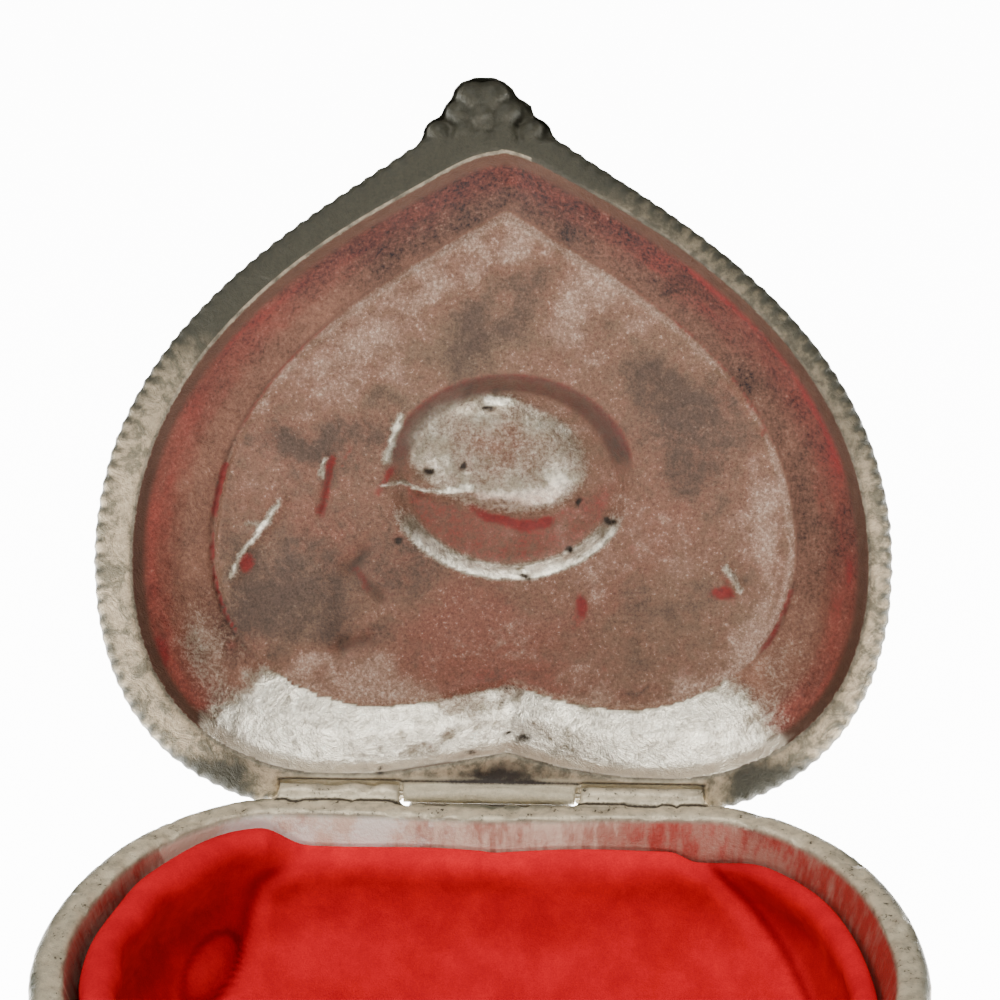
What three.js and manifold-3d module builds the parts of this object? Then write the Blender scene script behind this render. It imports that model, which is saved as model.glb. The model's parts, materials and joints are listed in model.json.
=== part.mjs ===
// A heart-shaped jewelry box of cast, silver-plated metal: a deep base, a hinged lid
// standing open, the hinge pin and a cloth lining. Millimetres, +Z up. The origin is the
// middle of the flat underside; the hinge lies along X at the back and the tip points to -Y.
import * as THREE from 'three';
import { mergeVertices } from 'three/addons/utils/BufferGeometryUtils.js';
import Module from 'manifold-3d';

const wasm = await Module();
wasm.setup();

// Plan sizes. Along the box, v is the distance from the hinge axis towards the tip.
const LID_WIDTH = 89.8;
const LID_TIP = 79.3;
const LID_LOBE_BACK = -2.6;
const LID_X = -0.25;
const LID_TIP_X = -0.8;
const LID_LOBES_APART = 38;
const LID_CLEFT = 1.6;
const LID_WIDEST = 25.5;
const BASE_WIDTH = 86;
const BASE_TIP = 75.2;
const BASE_LOBE_BACK = 0.8;
const BASE_LOBES_APART = 52;
const BASE_CLEFT = 2;
const BASE_WIDEST = 29.4;
const BASE_X = 0.15;

// Heights, walls and the fit of the lid on the base.
const BASE_HEIGHT = 30;
const SEAM = 0.3;
const BASE_RIM_WIDTH = 3.2;
const BASE_RIM_HEIGHT = 2.6;
const BASE_RIM_EDGE = 0.5;
const BASE_WALL = 2.2;
const BASE_FLOOR = 2.2;
const WAIST_INSET = 1.9;
const BELLY_INSET = 0.9;
const FOOT_HEIGHT = 3.2;
const FOOT_INSET = 1.2;
const FLOOR_FILLET = 2.5;

// The lid as a dish: flat rim, short wall, sloped border, heart panel, oval boss.
const LID_OPEN = 105;
const LID_METAL = 1.7;
const LID_RIM_WIDTH = 3.5;
const LID_MOUTH_X = 0.6;
const LID_MOUTH_TIP_INSET = 7.2;
const LID_MOUTH_BACK = 4.3;
const LID_MOUTH_CLEFT = 2.9;
const CLEFT_SHIFT = 1.3;
const LID_WALL_RUN = 1.2;
const LID_WALL_DEPTH = 2.1;
const PANEL_INSET = 11.4;
const PANEL_X = 0.9;
const PANEL_TIP_INSET = 13.4;
const PANEL_BACK_INSET = 11.1;
const PANEL_CLEFT_INSET = 9.8;
const PANEL_LOBES_APART = 31;
const PANEL_DEPTH = 6.2;
const BORDER_SAG = 0.7;
const BOSS_WIDTH = 28;
const BOSS_LENGTH = 23.4;
const BOSS_X = 2;
const BOSS_V = 35.4;
const BOSS_DEPTH = 2.6;
const BOSS_LUMP = 1.7;
const PETALS = 6;
const LEAF_LENGTH = 13;
const LEAF_WIDTH = 6.4;
const LEAF_RISE = 1.1;

// The roped edge and the finger tab at the tip.
const ROPE_PITCH = 1.78;
const ROPE_HEIGHT = 2.4;
const ROPE_REACH = 0.95;
const ROPE_DEPTH = 0.42;
const TAB_X = -1;
const TAB_REACH = 80.1;
const TAB_WIDTH = 14.4;
const TAB_THICKNESS = 3;

// The hinge: two knuckles of the base, one of the lid, on a loose pin.
const HINGE_LENGTH = 47.6;
const LID_KNUCKLE_LENGTH = 19.4;
const LID_KNUCKLE_X = -0.1;
const KNUCKLE_GAP = 0.4;
const KNUCKLE_RADIUS = 1;
const BORE_RADIUS = 0.62;
const PIN_RADIUS = 0.35;
const HINGE_CLEARANCE = 0.3;

// The lining.
const CLOTH = 1.1;
const CLOTH_CLEARANCE = 0.35;
const CLOTH_DROP = 3.6;
const CLOTH_SAG = 20;
const CLOTH_CURVE = 2.5;
const PLEAT = 1.6;
const PLEAT_START = 5;
const PLEAT_LEFT = -20;
const PLEAT_RIGHT = 21;
const PLEAT_SPREAD = 9;
const PLEAT_FADE = 12;

// Smoothness.
const RING_POINTS = 88;
const OVAL_POINTS = 32;
const LINING_POINTS = 58;
const LINING_LEVELS = 6;

const METAL = { color: 0xb9b3a4, roughness: 0.42, metalness: 0.9 };
const CLOTH_RED = { color: 0xc8202c, roughness: 0.92, metalness: 0 };

const RIM_Z = BASE_HEIGHT - SEAM / 2;
const HINGE_Y = (BASE_TIP + BASE_LOBE_BACK) / 2;
const CENTRE_V = BOSS_V;

// A heart in plan: its half width and where that is, the place of its lobes' backs, its cleft
// and its tip. The shares shape the corner of the lobe, the long flank and the tip.
const LID_OUTLINE = {
  x: LID_X,
  half: LID_WIDTH / 2,
  widest: LID_WIDEST,
  lobeX: LID_LOBES_APART / 2,
  lobe: LID_LOBE_BACK,
  cleftX: 0,
  cleft: LID_CLEFT,
  tipX: LID_TIP_X,
  tip: LID_TIP,
  corner: 1,
  flank: 0.63,
  tipRun: 0.1,
  tipRise: 0.16,
};
const LID_MOUTH = {
  ...LID_OUTLINE,
  x: LID_MOUTH_X,
  half: LID_OUTLINE.half - LID_RIM_WIDTH,
  lobe: LID_LOBE_BACK + LID_MOUTH_BACK,
  cleftX: CLEFT_SHIFT,
  cleft: LID_CLEFT + LID_MOUTH_CLEFT,
  tipX: 0,
  tip: LID_TIP - LID_MOUTH_TIP_INSET,
  flank: 0.6,
  tipRun: 0.3,
  tipRise: 0.12,
};
const LID_PANEL = {
  x: PANEL_X,
  half: LID_OUTLINE.half - PANEL_INSET,
  widest: LID_WIDEST + 1.5,
  lobeX: PANEL_LOBES_APART / 2,
  lobe: LID_LOBE_BACK + PANEL_BACK_INSET,
  cleftX: CLEFT_SHIFT,
  cleft: LID_CLEFT + PANEL_CLEFT_INSET,
  tipX: 0,
  tip: LID_TIP - PANEL_TIP_INSET,
  corner: 0.9,
  flank: 0.58,
  tipRun: 0.31,
  tipRise: 0.18,
};
const BASE_OUTLINE = {
  x: BASE_X,
  half: BASE_WIDTH / 2,
  widest: BASE_WIDEST,
  lobeX: BASE_LOBES_APART / 2,
  lobe: BASE_LOBE_BACK,
  cleftX: 0,
  cleft: BASE_CLEFT,
  tipX: 0,
  tip: BASE_TIP,
  corner: 0.84,
  flank: 0.58,
  tipRun: 0.31,
  tipRise: 0.2,
};

// The outline moved inwards by d all round.
function inset(o, d) {
  return {
    ...o,
    half: o.half - d,
    lobeX: o.lobeX - d * 0.35,
    lobe: o.lobe + d,
    cleft: o.cleft + d * 0.95,
    tip: o.tip - d * 1.25,
  };
}

// The outline a share t of the way from a to b.
function between(a, b, t) {
  const mixed = {};
  for (const key of Object.keys(a)) {
    mixed[key] = THREE.MathUtils.lerp(a[key], b[key], t);
  }
  return mixed;
}

// One half of a heart, side 1 or -1, from its cleft by the lobe and the widest point to its tip.
function halfHeart(o, side) {
  const long = o.tip - o.widest;
  const p = (x, v) => new THREE.Vector2(x, v);
  const path = new THREE.CurvePath();
  path.add(new THREE.CubicBezierCurve(
    p(o.cleftX * side, o.cleft),
    p(o.lobeX * 0.26, o.cleft - (o.cleft - o.lobe) * 0.42),
    p(o.lobeX * 0.6, o.lobe),
    p(o.lobeX, o.lobe),
  ));
  path.add(new THREE.CubicBezierCurve(
    p(o.lobeX, o.lobe),
    p(o.lobeX + (o.half - o.lobeX) * 0.05, o.lobe),
    p(o.half, o.widest - (o.widest - o.lobe) * o.corner),
    p(o.half, o.widest),
  ));
  path.add(new THREE.CubicBezierCurve(
    p(o.half, o.widest),
    p(o.half, o.widest + long * o.flank),
    p(o.half * o.tipRun, o.tip - long * o.tipRise),
    p(o.tipX * side, o.tip),
  ));
  return path;
}

// A closed ring of points at height h along a heart.
function heartRing(outline, h, count = RING_POINTS) {
  const place = (side) => (q) => new THREE.Vector3(outline.x + side * q.x, q.y, h);
  const right = halfHeart(outline, 1).getSpacedPoints(count / 2);
  const left = halfHeart(outline, -1).getSpacedPoints(count / 2);
  return [...right.map(place(1)), ...left.slice(1, -1).reverse().map(place(-1))];
}

// The crests and hollows of a roped edge: every second point lies back by the rope's depth.
function ropeRing(outline, h) {
  const strands = Math.round(halfHeart(outline, 1).getLength() / ROPE_PITCH);
  const ring = heartRing(outline, h, strands * 4);
  return ring.map((q, i) => {
    if (i % 2 === 0) {
      return q;
    }
    const after = ring[(i + 1) % ring.length];
    const along = after.clone().sub(ring[i - 1]).normalize();
    return q.clone().add(new THREE.Vector3(-along.y, along.x, 0).multiplyScalar(ROPE_DEPTH));
  });
}

// A pointed oval about the boss's centre, with its edge waved for petals where wave is set.
function ovalRing(share, h, wave = 0) {
  const ring = [];
  for (let i = 0; i < OVAL_POINTS; i += 1) {
    const turn = (i / OVAL_POINTS) * Math.PI * 2;
    const reach = share * (1 + wave * Math.cos(turn * PETALS));
    const point = Math.abs(Math.cos(turn)) ** 0.25;
    ring.push(new THREE.Vector3(
      BOSS_X + Math.sin(turn) * reach * (BOSS_WIDTH / 2),
      BOSS_V - Math.cos(turn) * point * reach * (BOSS_LENGTH / 2),
      h,
    ));
  }
  return ring;
}

// How far round the ring a point is, from the cleft by the right lobe.
function turnOf(q) {
  const turn = Math.atan2(q.x, CENTRE_V - q.y);
  return turn < -1e-9 ? turn + Math.PI * 2 : turn;
}

// A closed skin through a list of rings, from a point below to a point above it.
function skin(first, rings, last) {
  const points = [first, ...rings.flat(), last];
  const faces = [];
  const starts = [];
  let next = 1;
  for (const ring of rings) {
    starts.push(next);
    next += ring.length;
  }
  const id = (k, i) => starts[k] + (i % rings[k].length);
  const at = (k, i) => (i >= rings[k].length ? Math.PI * 2 : turnOf(rings[k][i]));
  for (let i = 0; i < rings[0].length; i += 1) {
    faces.push(0, id(0, i), id(0, i + 1));
  }
  for (let k = 0; k + 1 < rings.length; k += 1) {
    let i = 0;
    let j = 0;
    while (i < rings[k].length || j < rings[k + 1].length) {
      const step = j >= rings[k + 1].length
        || (i < rings[k].length && at(k, i + 1) <= at(k + 1, j + 1));
      if (step) {
        faces.push(id(k, i), id(k + 1, j), id(k, i + 1));
        i += 1;
      } else {
        faces.push(id(k, i), id(k + 1, j), id(k + 1, j + 1));
        j += 1;
      }
    }
  }
  const k = rings.length - 1;
  for (let i = 0; i < rings[k].length; i += 1) {
    faces.push(id(k, i), points.length - 1, id(k, i + 1));
  }
  const geometry = new THREE.BufferGeometry();
  geometry.setAttribute('position', new THREE.BufferAttribute(
    new Float32Array(points.flatMap((q) => [q.x, -q.y, q.z])),
    3,
  ));
  geometry.setIndex(faces);
  return geometry;
}

function toSolid(geometry) {
  const plain = geometry.clone();
  plain.deleteAttribute('normal');
  plain.deleteAttribute('uv');
  const merged = mergeVertices(plain, 1e-5);
  return new wasm.Manifold(new wasm.Mesh({
    numProp: 3,
    vertProperties: new Float32Array(merged.attributes.position.array),
    triVerts: new Uint32Array(merged.index.array),
  }));
}

function toGeometry(solid) {
  const mesh = solid.getMesh();
  const geometry = new THREE.BufferGeometry();
  geometry.setAttribute('position', new THREE.BufferAttribute(mesh.vertProperties, 3));
  geometry.setIndex(new THREE.BufferAttribute(mesh.triVerts, 1));
  geometry.computeVertexNormals();
  return geometry;
}

// A box between two corners given as x, v and height.
function block(low, high) {
  const size = [0, 1, 2].map((i) => high[i] - low[i]);
  const middle = [0, 1, 2].map((i) => (high[i] + low[i]) / 2);
  return toSolid(new THREE.BoxGeometry(...size).translate(middle[0], -middle[1], middle[2]));
}

// A round bar along X about the hinge axis.
function bar(from, to, radius) {
  const geometry = new THREE.CylinderGeometry(radius, radius, to - from, 12);
  return toSolid(geometry.rotateZ(Math.PI / 2).translate((from + to) / 2, 0, 0));
}

// A rounded lump of the casting: an ellipsoid lying in the plan, turned by angle.
function lump(x, v, h, length, width, rise, angle = 0) {
  const geometry = new THREE.SphereGeometry(1, 10, 6).rotateX(Math.PI / 2);
  geometry.scale(width / 2, length / 2, rise);
  return toSolid(geometry.rotateZ(angle).translate(x, -v, h));
}

const KNUCKLE_FROM = LID_KNUCKLE_X - LID_KNUCKLE_LENGTH / 2;
const KNUCKLE_TO = LID_KNUCKLE_X + LID_KNUCKLE_LENGTH / 2;

// A knuckle from one x to another, with the web that ties it to its casting. The axis is at
// height 0, and side is 1 for the lid above it and -1 for the base below it.
function knuckle(from, to, side, reach) {
  const low = Math.min(side * SEAM / 2, side * KNUCKLE_RADIUS);
  const high = Math.max(side * SEAM / 2, side * KNUCKLE_RADIUS);
  const web = block([from, 0, low], [to, reach, high]);
  return bar(from, to, KNUCKLE_RADIUS).add(web).subtract(bar(from - 1, to + 1, BORE_RADIUS));
}

// The lid, shut, in the hinge's own frame: rim face SEAM / 2 above the axis.
function lidShell() {
  const foot = {
    ...between(LID_MOUTH, LID_PANEL, LID_WALL_RUN / (PANEL_INSET - LID_RIM_WIDTH)),
    tip: LID_MOUTH.tip - LID_WALL_RUN,
  };
  const middle = between(foot, LID_PANEL, 0.5);
  const middleDepth = (LID_WALL_DEPTH + PANEL_DEPTH) / 2 + BORDER_SAG;
  const floor = PANEL_DEPTH + 0.25;
  const top = floor + LID_METAL;
  const boss = top + BOSS_DEPTH;
  const rings = [
    ovalRing(0.2, boss - 0.5),
    ovalRing(0.32, boss + 0.2, 0.1),
    ovalRing(0.55, boss - 0.7, 0.08),
    ovalRing(0.66, boss - 0.3, 0.06),
    ovalRing(0.95, top + 0.5, 0.03),
    ovalRing(1.06, top),
    heartRing(inset(LID_PANEL, 2.2), top),
    heartRing(inset(LID_PANEL, 1.2), top + 0.7),
    heartRing(inset(LID_PANEL, -0.2), top + 0.2),
    heartRing(between(foot, LID_PANEL, 0.62), middleDepth + LID_METAL * 1.15),
    heartRing(inset(LID_MOUTH, -0.6), LID_WALL_DEPTH + LID_METAL),
    heartRing(inset(LID_OUTLINE, ROPE_REACH * 1.3), ROPE_HEIGHT + 0.2),
    heartRing(inset(LID_OUTLINE, ROPE_REACH), ROPE_HEIGHT),
    ropeRing(LID_OUTLINE, ROPE_HEIGHT / 2),
    heartRing(inset(LID_OUTLINE, ROPE_REACH), 0),
    heartRing(LID_MOUTH, 0),
    heartRing(foot, LID_WALL_DEPTH),
    heartRing(middle, middleDepth),
    heartRing(LID_PANEL, PANEL_DEPTH),
    heartRing(inset(LID_PANEL, 0.8), PANEL_DEPTH - 0.2),
    ovalRing(1, floor),
    ovalRing(0.9, floor + BOSS_DEPTH * 0.72),
    ovalRing(0.7, floor + BOSS_DEPTH),
    ovalRing(0.5, floor + BOSS_DEPTH - BOSS_LUMP * 0.6),
    ovalRing(0.25, floor + BOSS_DEPTH - BOSS_LUMP),
  ];
  const first = new THREE.Vector3(BOSS_X, BOSS_V, boss - 0.1);
  const last = new THREE.Vector3(BOSS_X, BOSS_V, floor + BOSS_DEPTH - BOSS_LUMP);
  return toSolid(skin(last, rings.reverse(), first));
}

// A spray of three leaves on each side of the boss.
function leaves() {
  const top = PANEL_DEPTH + 0.25 + LID_METAL;
  const fan = [-38, 0, 38];
  let spray = null;
  for (const side of [-1, 1]) {
    for (const degrees of fan) {
      const angle = THREE.MathUtils.degToRad(degrees);
      const reach = (BOSS_WIDTH + LEAF_LENGTH) / 2;
      const x = BOSS_X + side * reach * Math.cos(angle);
      const v = BOSS_V - Math.sin(angle) * reach;
      const turn = Math.PI / 2 + side * angle;
      const leaf = lump(x, v, top, LEAF_LENGTH, LEAF_WIDTH, LEAF_RISE, turn);
      spray = spray ? spray.add(leaf) : leaf;
    }
  }
  return spray;
}

// The finger tab: a round knob at the tip with two stepped lobes on each side.
function fingerTab() {
  const h = TAB_THICKNESS / 2;
  const knob = TAB_REACH - 3.3;
  let tab = lump(TAB_X - 0.4, knob, h, 6.6, 8.2, h);
  tab = tab.add(lump(TAB_X, knob - 1.6, h * 0.95, 5.4, 9.6, h));
  for (const side of [-1, 1]) {
    tab = tab.add(lump(TAB_X + side * TAB_WIDTH * 0.22, knob - 1.4, h, 4.6, 4.2, h * 0.95));
    tab = tab.add(lump(TAB_X + side * TAB_WIDTH * 0.37, knob - 3.5, h, 4.2, 4, h * 0.9));
  }
  return tab;
}

function lid() {
  const cast = lidShell().add(leaves()).add(fingerTab()).translate([0, 0, SEAM / 2]);
  const notchSide = HINGE_LENGTH / 2 + HINGE_CLEARANCE;
  const notchFront = KNUCKLE_RADIUS + HINGE_CLEARANCE;
  const notch = block(
    [-notchSide, LID_LOBE_BACK - 1, -notchFront],
    [notchSide, notchFront, notchFront],
  );
  const flatRim = block([-LID_WIDTH, -LID_TIP, -LID_TIP], [LID_WIDTH, LID_TIP * 2, SEAM / 2]);
  const tie = knuckle(KNUCKLE_FROM, KNUCKLE_TO, 1, LID_MOUTH.lobe);
  return toGeometry(cast.subtract(flatRim).subtract(notch).add(tie));
}

// The base: rim band, waisted and bellied side, low foot, flat floor, hollow inside.
function base() {
  const inside = inset(BASE_OUTLINE, BASE_RIM_WIDTH);
  const deep = inset(BASE_OUTLINE, WAIST_INSET + BASE_WALL);
  const rimFoot = RIM_Z - BASE_RIM_HEIGHT;
  const bellyZ = (FOOT_HEIGHT + rimFoot) / 2;
  const rings = [
    heartRing(inset(BASE_OUTLINE, FOOT_INSET + 0.5), 0),
    heartRing(inset(BASE_OUTLINE, FOOT_INSET), FOOT_HEIGHT * 0.25),
    heartRing(inset(BASE_OUTLINE, FOOT_INSET), FOOT_HEIGHT * 0.7),
    heartRing(inset(BASE_OUTLINE, WAIST_INSET), FOOT_HEIGHT),
    heartRing(inset(BASE_OUTLINE, (WAIST_INSET + BELLY_INSET) / 2 - 0.2), (FOOT_HEIGHT + bellyZ) / 2),
    heartRing(inset(BASE_OUTLINE, BELLY_INSET), bellyZ),
    heartRing(inset(BASE_OUTLINE, (WAIST_INSET + BELLY_INSET) / 2 - 0.2), (rimFoot + bellyZ) / 2),
    heartRing(inset(BASE_OUTLINE, WAIST_INSET), rimFoot - BASE_RIM_EDGE),
    heartRing(BASE_OUTLINE, rimFoot + BASE_RIM_EDGE),
    heartRing(BASE_OUTLINE, RIM_Z - BASE_RIM_EDGE),
    heartRing(inset(BASE_OUTLINE, BASE_RIM_EDGE), RIM_Z),
    heartRing(inset(inside, -0.3), RIM_Z),
    heartRing(inside, RIM_Z - 0.4),
    heartRing(deep, rimFoot - 1.5),
    heartRing(deep, BASE_FLOOR + FLOOR_FILLET),
    heartRing(inset(deep, FLOOR_FILLET * 0.3), BASE_FLOOR + FLOOR_FILLET * 0.3),
    heartRing(inset(deep, FLOOR_FILLET), BASE_FLOOR),
  ];
  const first = new THREE.Vector3(0, CENTRE_V, 0);
  const last = new THREE.Vector3(0, CENTRE_V, BASE_FLOOR);
  const shell = toSolid(skin(first, rings, last));
  const reach = BASE_CLEFT + BASE_RIM_EDGE;
  const left = knuckle(-HINGE_LENGTH / 2, KNUCKLE_FROM - KNUCKLE_GAP, -1, reach);
  const right = knuckle(KNUCKLE_TO + KNUCKLE_GAP, HINGE_LENGTH / 2, -1, reach);
  const room = bar(
    KNUCKLE_FROM - KNUCKLE_GAP,
    KNUCKLE_TO + KNUCKLE_GAP,
    KNUCKLE_RADIUS + HINGE_CLEARANCE,
  );
  const hung = [0, 0, BASE_HEIGHT];
  return toGeometry(shell.subtract(room.translate(hung)).add(left.add(right).translate(hung)));
}

// The cloth between its pleats: at the back it stands proud, by more from its edge downwards.
function proud(ring, share) {
  const spread = PLEAT_SPREAD * share;
  const push = PLEAT * Math.min(1, share * PLEAT_START);
  return ring.map((q) => {
    const middle = q.x > PLEAT_LEFT - spread && q.x < PLEAT_RIGHT + spread;
    const back = THREE.MathUtils.smoothstep(CENTRE_V - q.y, 0, PLEAT_FADE);
    return middle ? q.clone().add(new THREE.Vector3(0, push * back, 0)) : q;
  });
}

// The lining: a bowl of cloth that hangs from its edge at the wall and curves in to the floor.
function lining() {
  const wall = WAIST_INSET + BASE_WALL + CLOTH_CLEARANCE;
  const low = BASE_FLOOR + CLOTH_CLEARANCE;
  const high = RIM_Z - CLOTH_DROP;
  const ring = (share, thick) => {
    const depth = wall + CLOTH_SAG * share ** CLOTH_CURVE + thick * (1 - share * share);
    const h = THREE.MathUtils.lerp(high, low, share) + thick * share;
    return proud(heartRing(inset(BASE_OUTLINE, depth), h, LINING_POINTS), share);
  };
  const shares = Array.from({ length: LINING_LEVELS + 1 }, (_, k) => k / LINING_LEVELS);
  const under = shares.toReversed().map((share) => ring(share, 0));
  const over = shares.map((share) => ring(share, CLOTH));
  const first = new THREE.Vector3(0, CENTRE_V, low);
  const last = new THREE.Vector3(0, CENTRE_V, low + CLOTH);
  return toGeometry(toSolid(skin(first, [...under, ...over], last)));
}

function pin() {
  return toGeometry(bar(-HINGE_LENGTH / 2 + 0.2, HINGE_LENGTH / 2 - 0.2, PIN_RADIUS));
}

function piece(name, geometry, look) {
  const mesh = new THREE.Mesh(geometry, new THREE.MeshStandardMaterial(look));
  mesh.name = name;
  return mesh;
}

const box = new THREE.Group();

const body = new THREE.Group();
body.position.set(0, HINGE_Y, 0);
body.add(piece('base', base(), METAL));
body.add(piece('lining', lining(), CLOTH_RED));
box.add(body);

const hinge = new THREE.Group();
hinge.position.set(0, HINGE_Y, BASE_HEIGHT);
hinge.add(piece('hinge_pin', pin(), METAL));
box.add(hinge);

const lidFrame = new THREE.Group();
lidFrame.position.copy(hinge.position);
lidFrame.rotation.x = -THREE.MathUtils.degToRad(LID_OPEN);
lidFrame.add(piece('lid', lid(), METAL));
box.add(lidFrame);

export default box;
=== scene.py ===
import bpy
import json
import math
import numpy as np
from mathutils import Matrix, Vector


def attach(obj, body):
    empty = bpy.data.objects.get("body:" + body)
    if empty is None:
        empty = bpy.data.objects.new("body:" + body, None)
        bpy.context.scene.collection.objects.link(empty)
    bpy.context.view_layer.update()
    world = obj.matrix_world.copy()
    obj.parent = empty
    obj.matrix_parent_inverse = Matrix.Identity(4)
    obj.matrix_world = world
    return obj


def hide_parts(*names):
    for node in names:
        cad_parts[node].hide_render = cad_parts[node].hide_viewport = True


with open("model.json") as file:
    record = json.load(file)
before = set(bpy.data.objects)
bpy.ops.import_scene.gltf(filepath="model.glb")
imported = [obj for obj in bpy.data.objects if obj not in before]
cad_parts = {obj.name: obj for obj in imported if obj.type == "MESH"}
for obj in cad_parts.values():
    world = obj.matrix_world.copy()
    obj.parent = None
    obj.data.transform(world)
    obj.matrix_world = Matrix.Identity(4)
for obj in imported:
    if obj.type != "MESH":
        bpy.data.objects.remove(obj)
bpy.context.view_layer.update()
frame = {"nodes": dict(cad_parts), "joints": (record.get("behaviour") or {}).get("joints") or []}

MM = 0.001
HINGE = Vector(frame["joints"][0]["pos_m"])
HINGE_Y = HINGE.y / MM
HINGE_Z = HINGE.z / MM
LID_LEAN = math.radians(105)
# How far back and up 1 mm along the open lid goes.
LEAN_BACK = -math.cos(LID_LEAN)
LEAN_UP = math.sin(LID_LEAN)
LID_GAP = 0.15

# The camera's place from the middle of the hinge, and the photo's focal length.
CAMERA_FROM_HINGE = Vector((0.0074, -0.1809, 0.0962))
CAMERA_TURN = math.radians(2)
CAMERA_DOWN = math.radians(18.69)
FOCAL_MM = 64.8

# The heart contours of the solids, in mm: x across the box, the second number away from the hinge.
LID_OUTLINE = dict(x=-0.25, half=44.9, widest=25.5, lobe_x=19, lobe=-2.6, cleft_x=0, cleft=1.6,
                   tip_x=-0.8, tip=79.3, corner=1, flank=0.63, tip_run=0.1, tip_rise=0.16)
LID_MOUTH = dict(x=0.6, half=41.4, widest=25.5, lobe_x=19, lobe=1.7, cleft_x=1.3, cleft=4.5,
                 tip_x=0, tip=72.1, corner=1, flank=0.6, tip_run=0.3, tip_rise=0.12)
LID_PANEL = dict(x=0.9, half=33.5, widest=27, lobe_x=15.5, lobe=8.5, cleft_x=1.3, cleft=11.4,
                 tip_x=0, tip=65.9, corner=0.9, flank=0.58, tip_run=0.31, tip_rise=0.18)
BASE_OUTLINE = dict(x=0.15, half=43, widest=29.4, lobe_x=26, lobe=0.8, cleft_x=0, cleft=2,
                    tip_x=0, tip=75.2, corner=0.84, flank=0.58, tip_run=0.31, tip_rise=0.2)
BASE_HEIGHT = 30
BASE_TOP = BASE_HEIGHT - LID_GAP
BASE_WALL_INSET = 4.1
BOSS_X = 2
BOSS_V = 35.4
BOSS_HALF_WIDTH = 14.2
BOSS_HALF_LENGTH = 11.7
PANEL_DEPTH = 6.45
KNUCKLE_RADIUS = 1
LID_KNUCKLE_HALF = 9.7
LID_KNUCKLE_X = -0.1
KNUCKLE_REACH = 0.4 + LID_KNUCKLE_HALF
HINGE_HALF = 23.8
LID_KNUCKLE = (-LID_KNUCKLE_HALF + LID_KNUCKLE_X, LID_KNUCKLE_HALF + LID_KNUCKLE_X)
BASE_KNUCKLES = ((-HINGE_HALF, -KNUCKLE_REACH + LID_KNUCKLE_X),
                 (KNUCKLE_REACH + LID_KNUCKLE_X, HINGE_HALF))
ROPE_PITCH = 1.78
STRAND_SIZE = (1.35, 0.74, 0.72)
STRAND_SLANT = math.radians(28)
STRAND_INSET = 0.7
STRAND_HEIGHT = 1.15
LID_LOBES = 44
LOBE_DEPTH = 0.55
BASE_FLUTES = 60
FLUTE_DEPTH = 0.5

# The edge length of the castings' skins, in mm.
LID_VOXEL = 0.425
BASE_VOXEL = 0.54

# The shelf under the middle knuckle: how far forward, how deep, from and to which height.
LEDGE_WIDTH = 18.6
LEDGES = ((0.55, 4.1, 26.5, 28.45), (2.7, 1.9, 27.0, 29.86))

# A distance is stored at a vertex as a share of this many mm.
FAR = 20.0


# Numbers over a whole mesh.

def bezier(a, b, c, d, count):
    t = np.linspace(0, 1, count, endpoint=False)[:, None]
    a, b, c, d = (np.array(p, dtype=float) for p in (a, b, c, d))
    return (1 - t) ** 3 * a + 3 * (1 - t) ** 2 * t * b + 3 * (1 - t) * t * t * c + t ** 3 * d


def half_heart(o, side, count):
    dip = o["cleft"] - o["lobe"]
    reach = o["half"] - o["lobe_x"]
    back = o["widest"] - o["lobe"]
    rise = o["tip"] - o["widest"]
    cleft = (o["cleft_x"] * side, o["cleft"])
    lobe = (o["lobe_x"], o["lobe"])
    widest = (o["half"], o["widest"])
    tip = (o["tip_x"] * side, o["tip"])
    parts = [
        bezier(cleft, (o["lobe_x"] * 0.26, o["cleft"] - dip * 0.42),
               (o["lobe_x"] * 0.6, o["lobe"]), lobe, count),
        bezier(lobe, (o["lobe_x"] + reach * 0.05, o["lobe"]),
               (o["half"], o["widest"] - back * o["corner"]), widest, count),
        bezier(widest, (o["half"], o["widest"] + rise * o["flank"]),
               (o["half"] * o["tip_run"], o["tip"] - rise * o["tip_rise"]), tip, count),
        np.array([tip], dtype=float),
    ]
    points = np.concatenate(parts)
    points[:, 0] = o["x"] + side * points[:, 0]
    return points


def heart(o, count=34):
    right = half_heart(o, 1, count)
    left = half_heart(o, -1, count)
    return np.concatenate([right, left[::-1][1:-1]])


def inset(o, depth):
    smaller = dict(o)
    smaller["half"] -= depth
    smaller["lobe_x"] -= 0.35 * depth
    smaller["lobe"] += depth
    smaller["cleft"] += 0.95 * depth
    smaller["tip"] -= 1.25 * depth
    return smaller


def ease(low, high, value):
    t = np.clip((value - low) / (high - low), 0, 1)
    return t * t * (3 - 2 * t)


def fade(low, high, value):
    return 1 - ease(low, high, value)


def between(value, start, full, going, gone):
    return ease(start, full, value) * fade(going, gone, value)


def hump(value, middle, width):
    """1 where a value is at its middle, and soon 0 on either side."""
    return np.exp(-((value - middle) / width) ** 2)


def from_line(points, line, closed=False):
    """The distance to a line, how far along it the nearest place is, and the line's length."""
    ends = np.roll(line, -1, axis=0) if closed else line[1:]
    starts = line if closed else line[:-1]
    best = np.full(len(points), 1e9)
    along = np.zeros(len(points))
    run = 0.0
    for a, b in zip(starts, ends):
        span = b - a
        length = float(np.hypot(*span))
        if length < 1e-9:
            continue
        t = np.clip(((points - a) @ span) / length ** 2, 0, 1)
        gap = points - (a + t[:, None] * span)
        dist = np.hypot(gap[:, 0], gap[:, 1])
        near = dist < best
        best = np.where(near, dist, best)
        along = np.where(near, run + t * length, along)
        run += length
    return best, along, run


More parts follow.
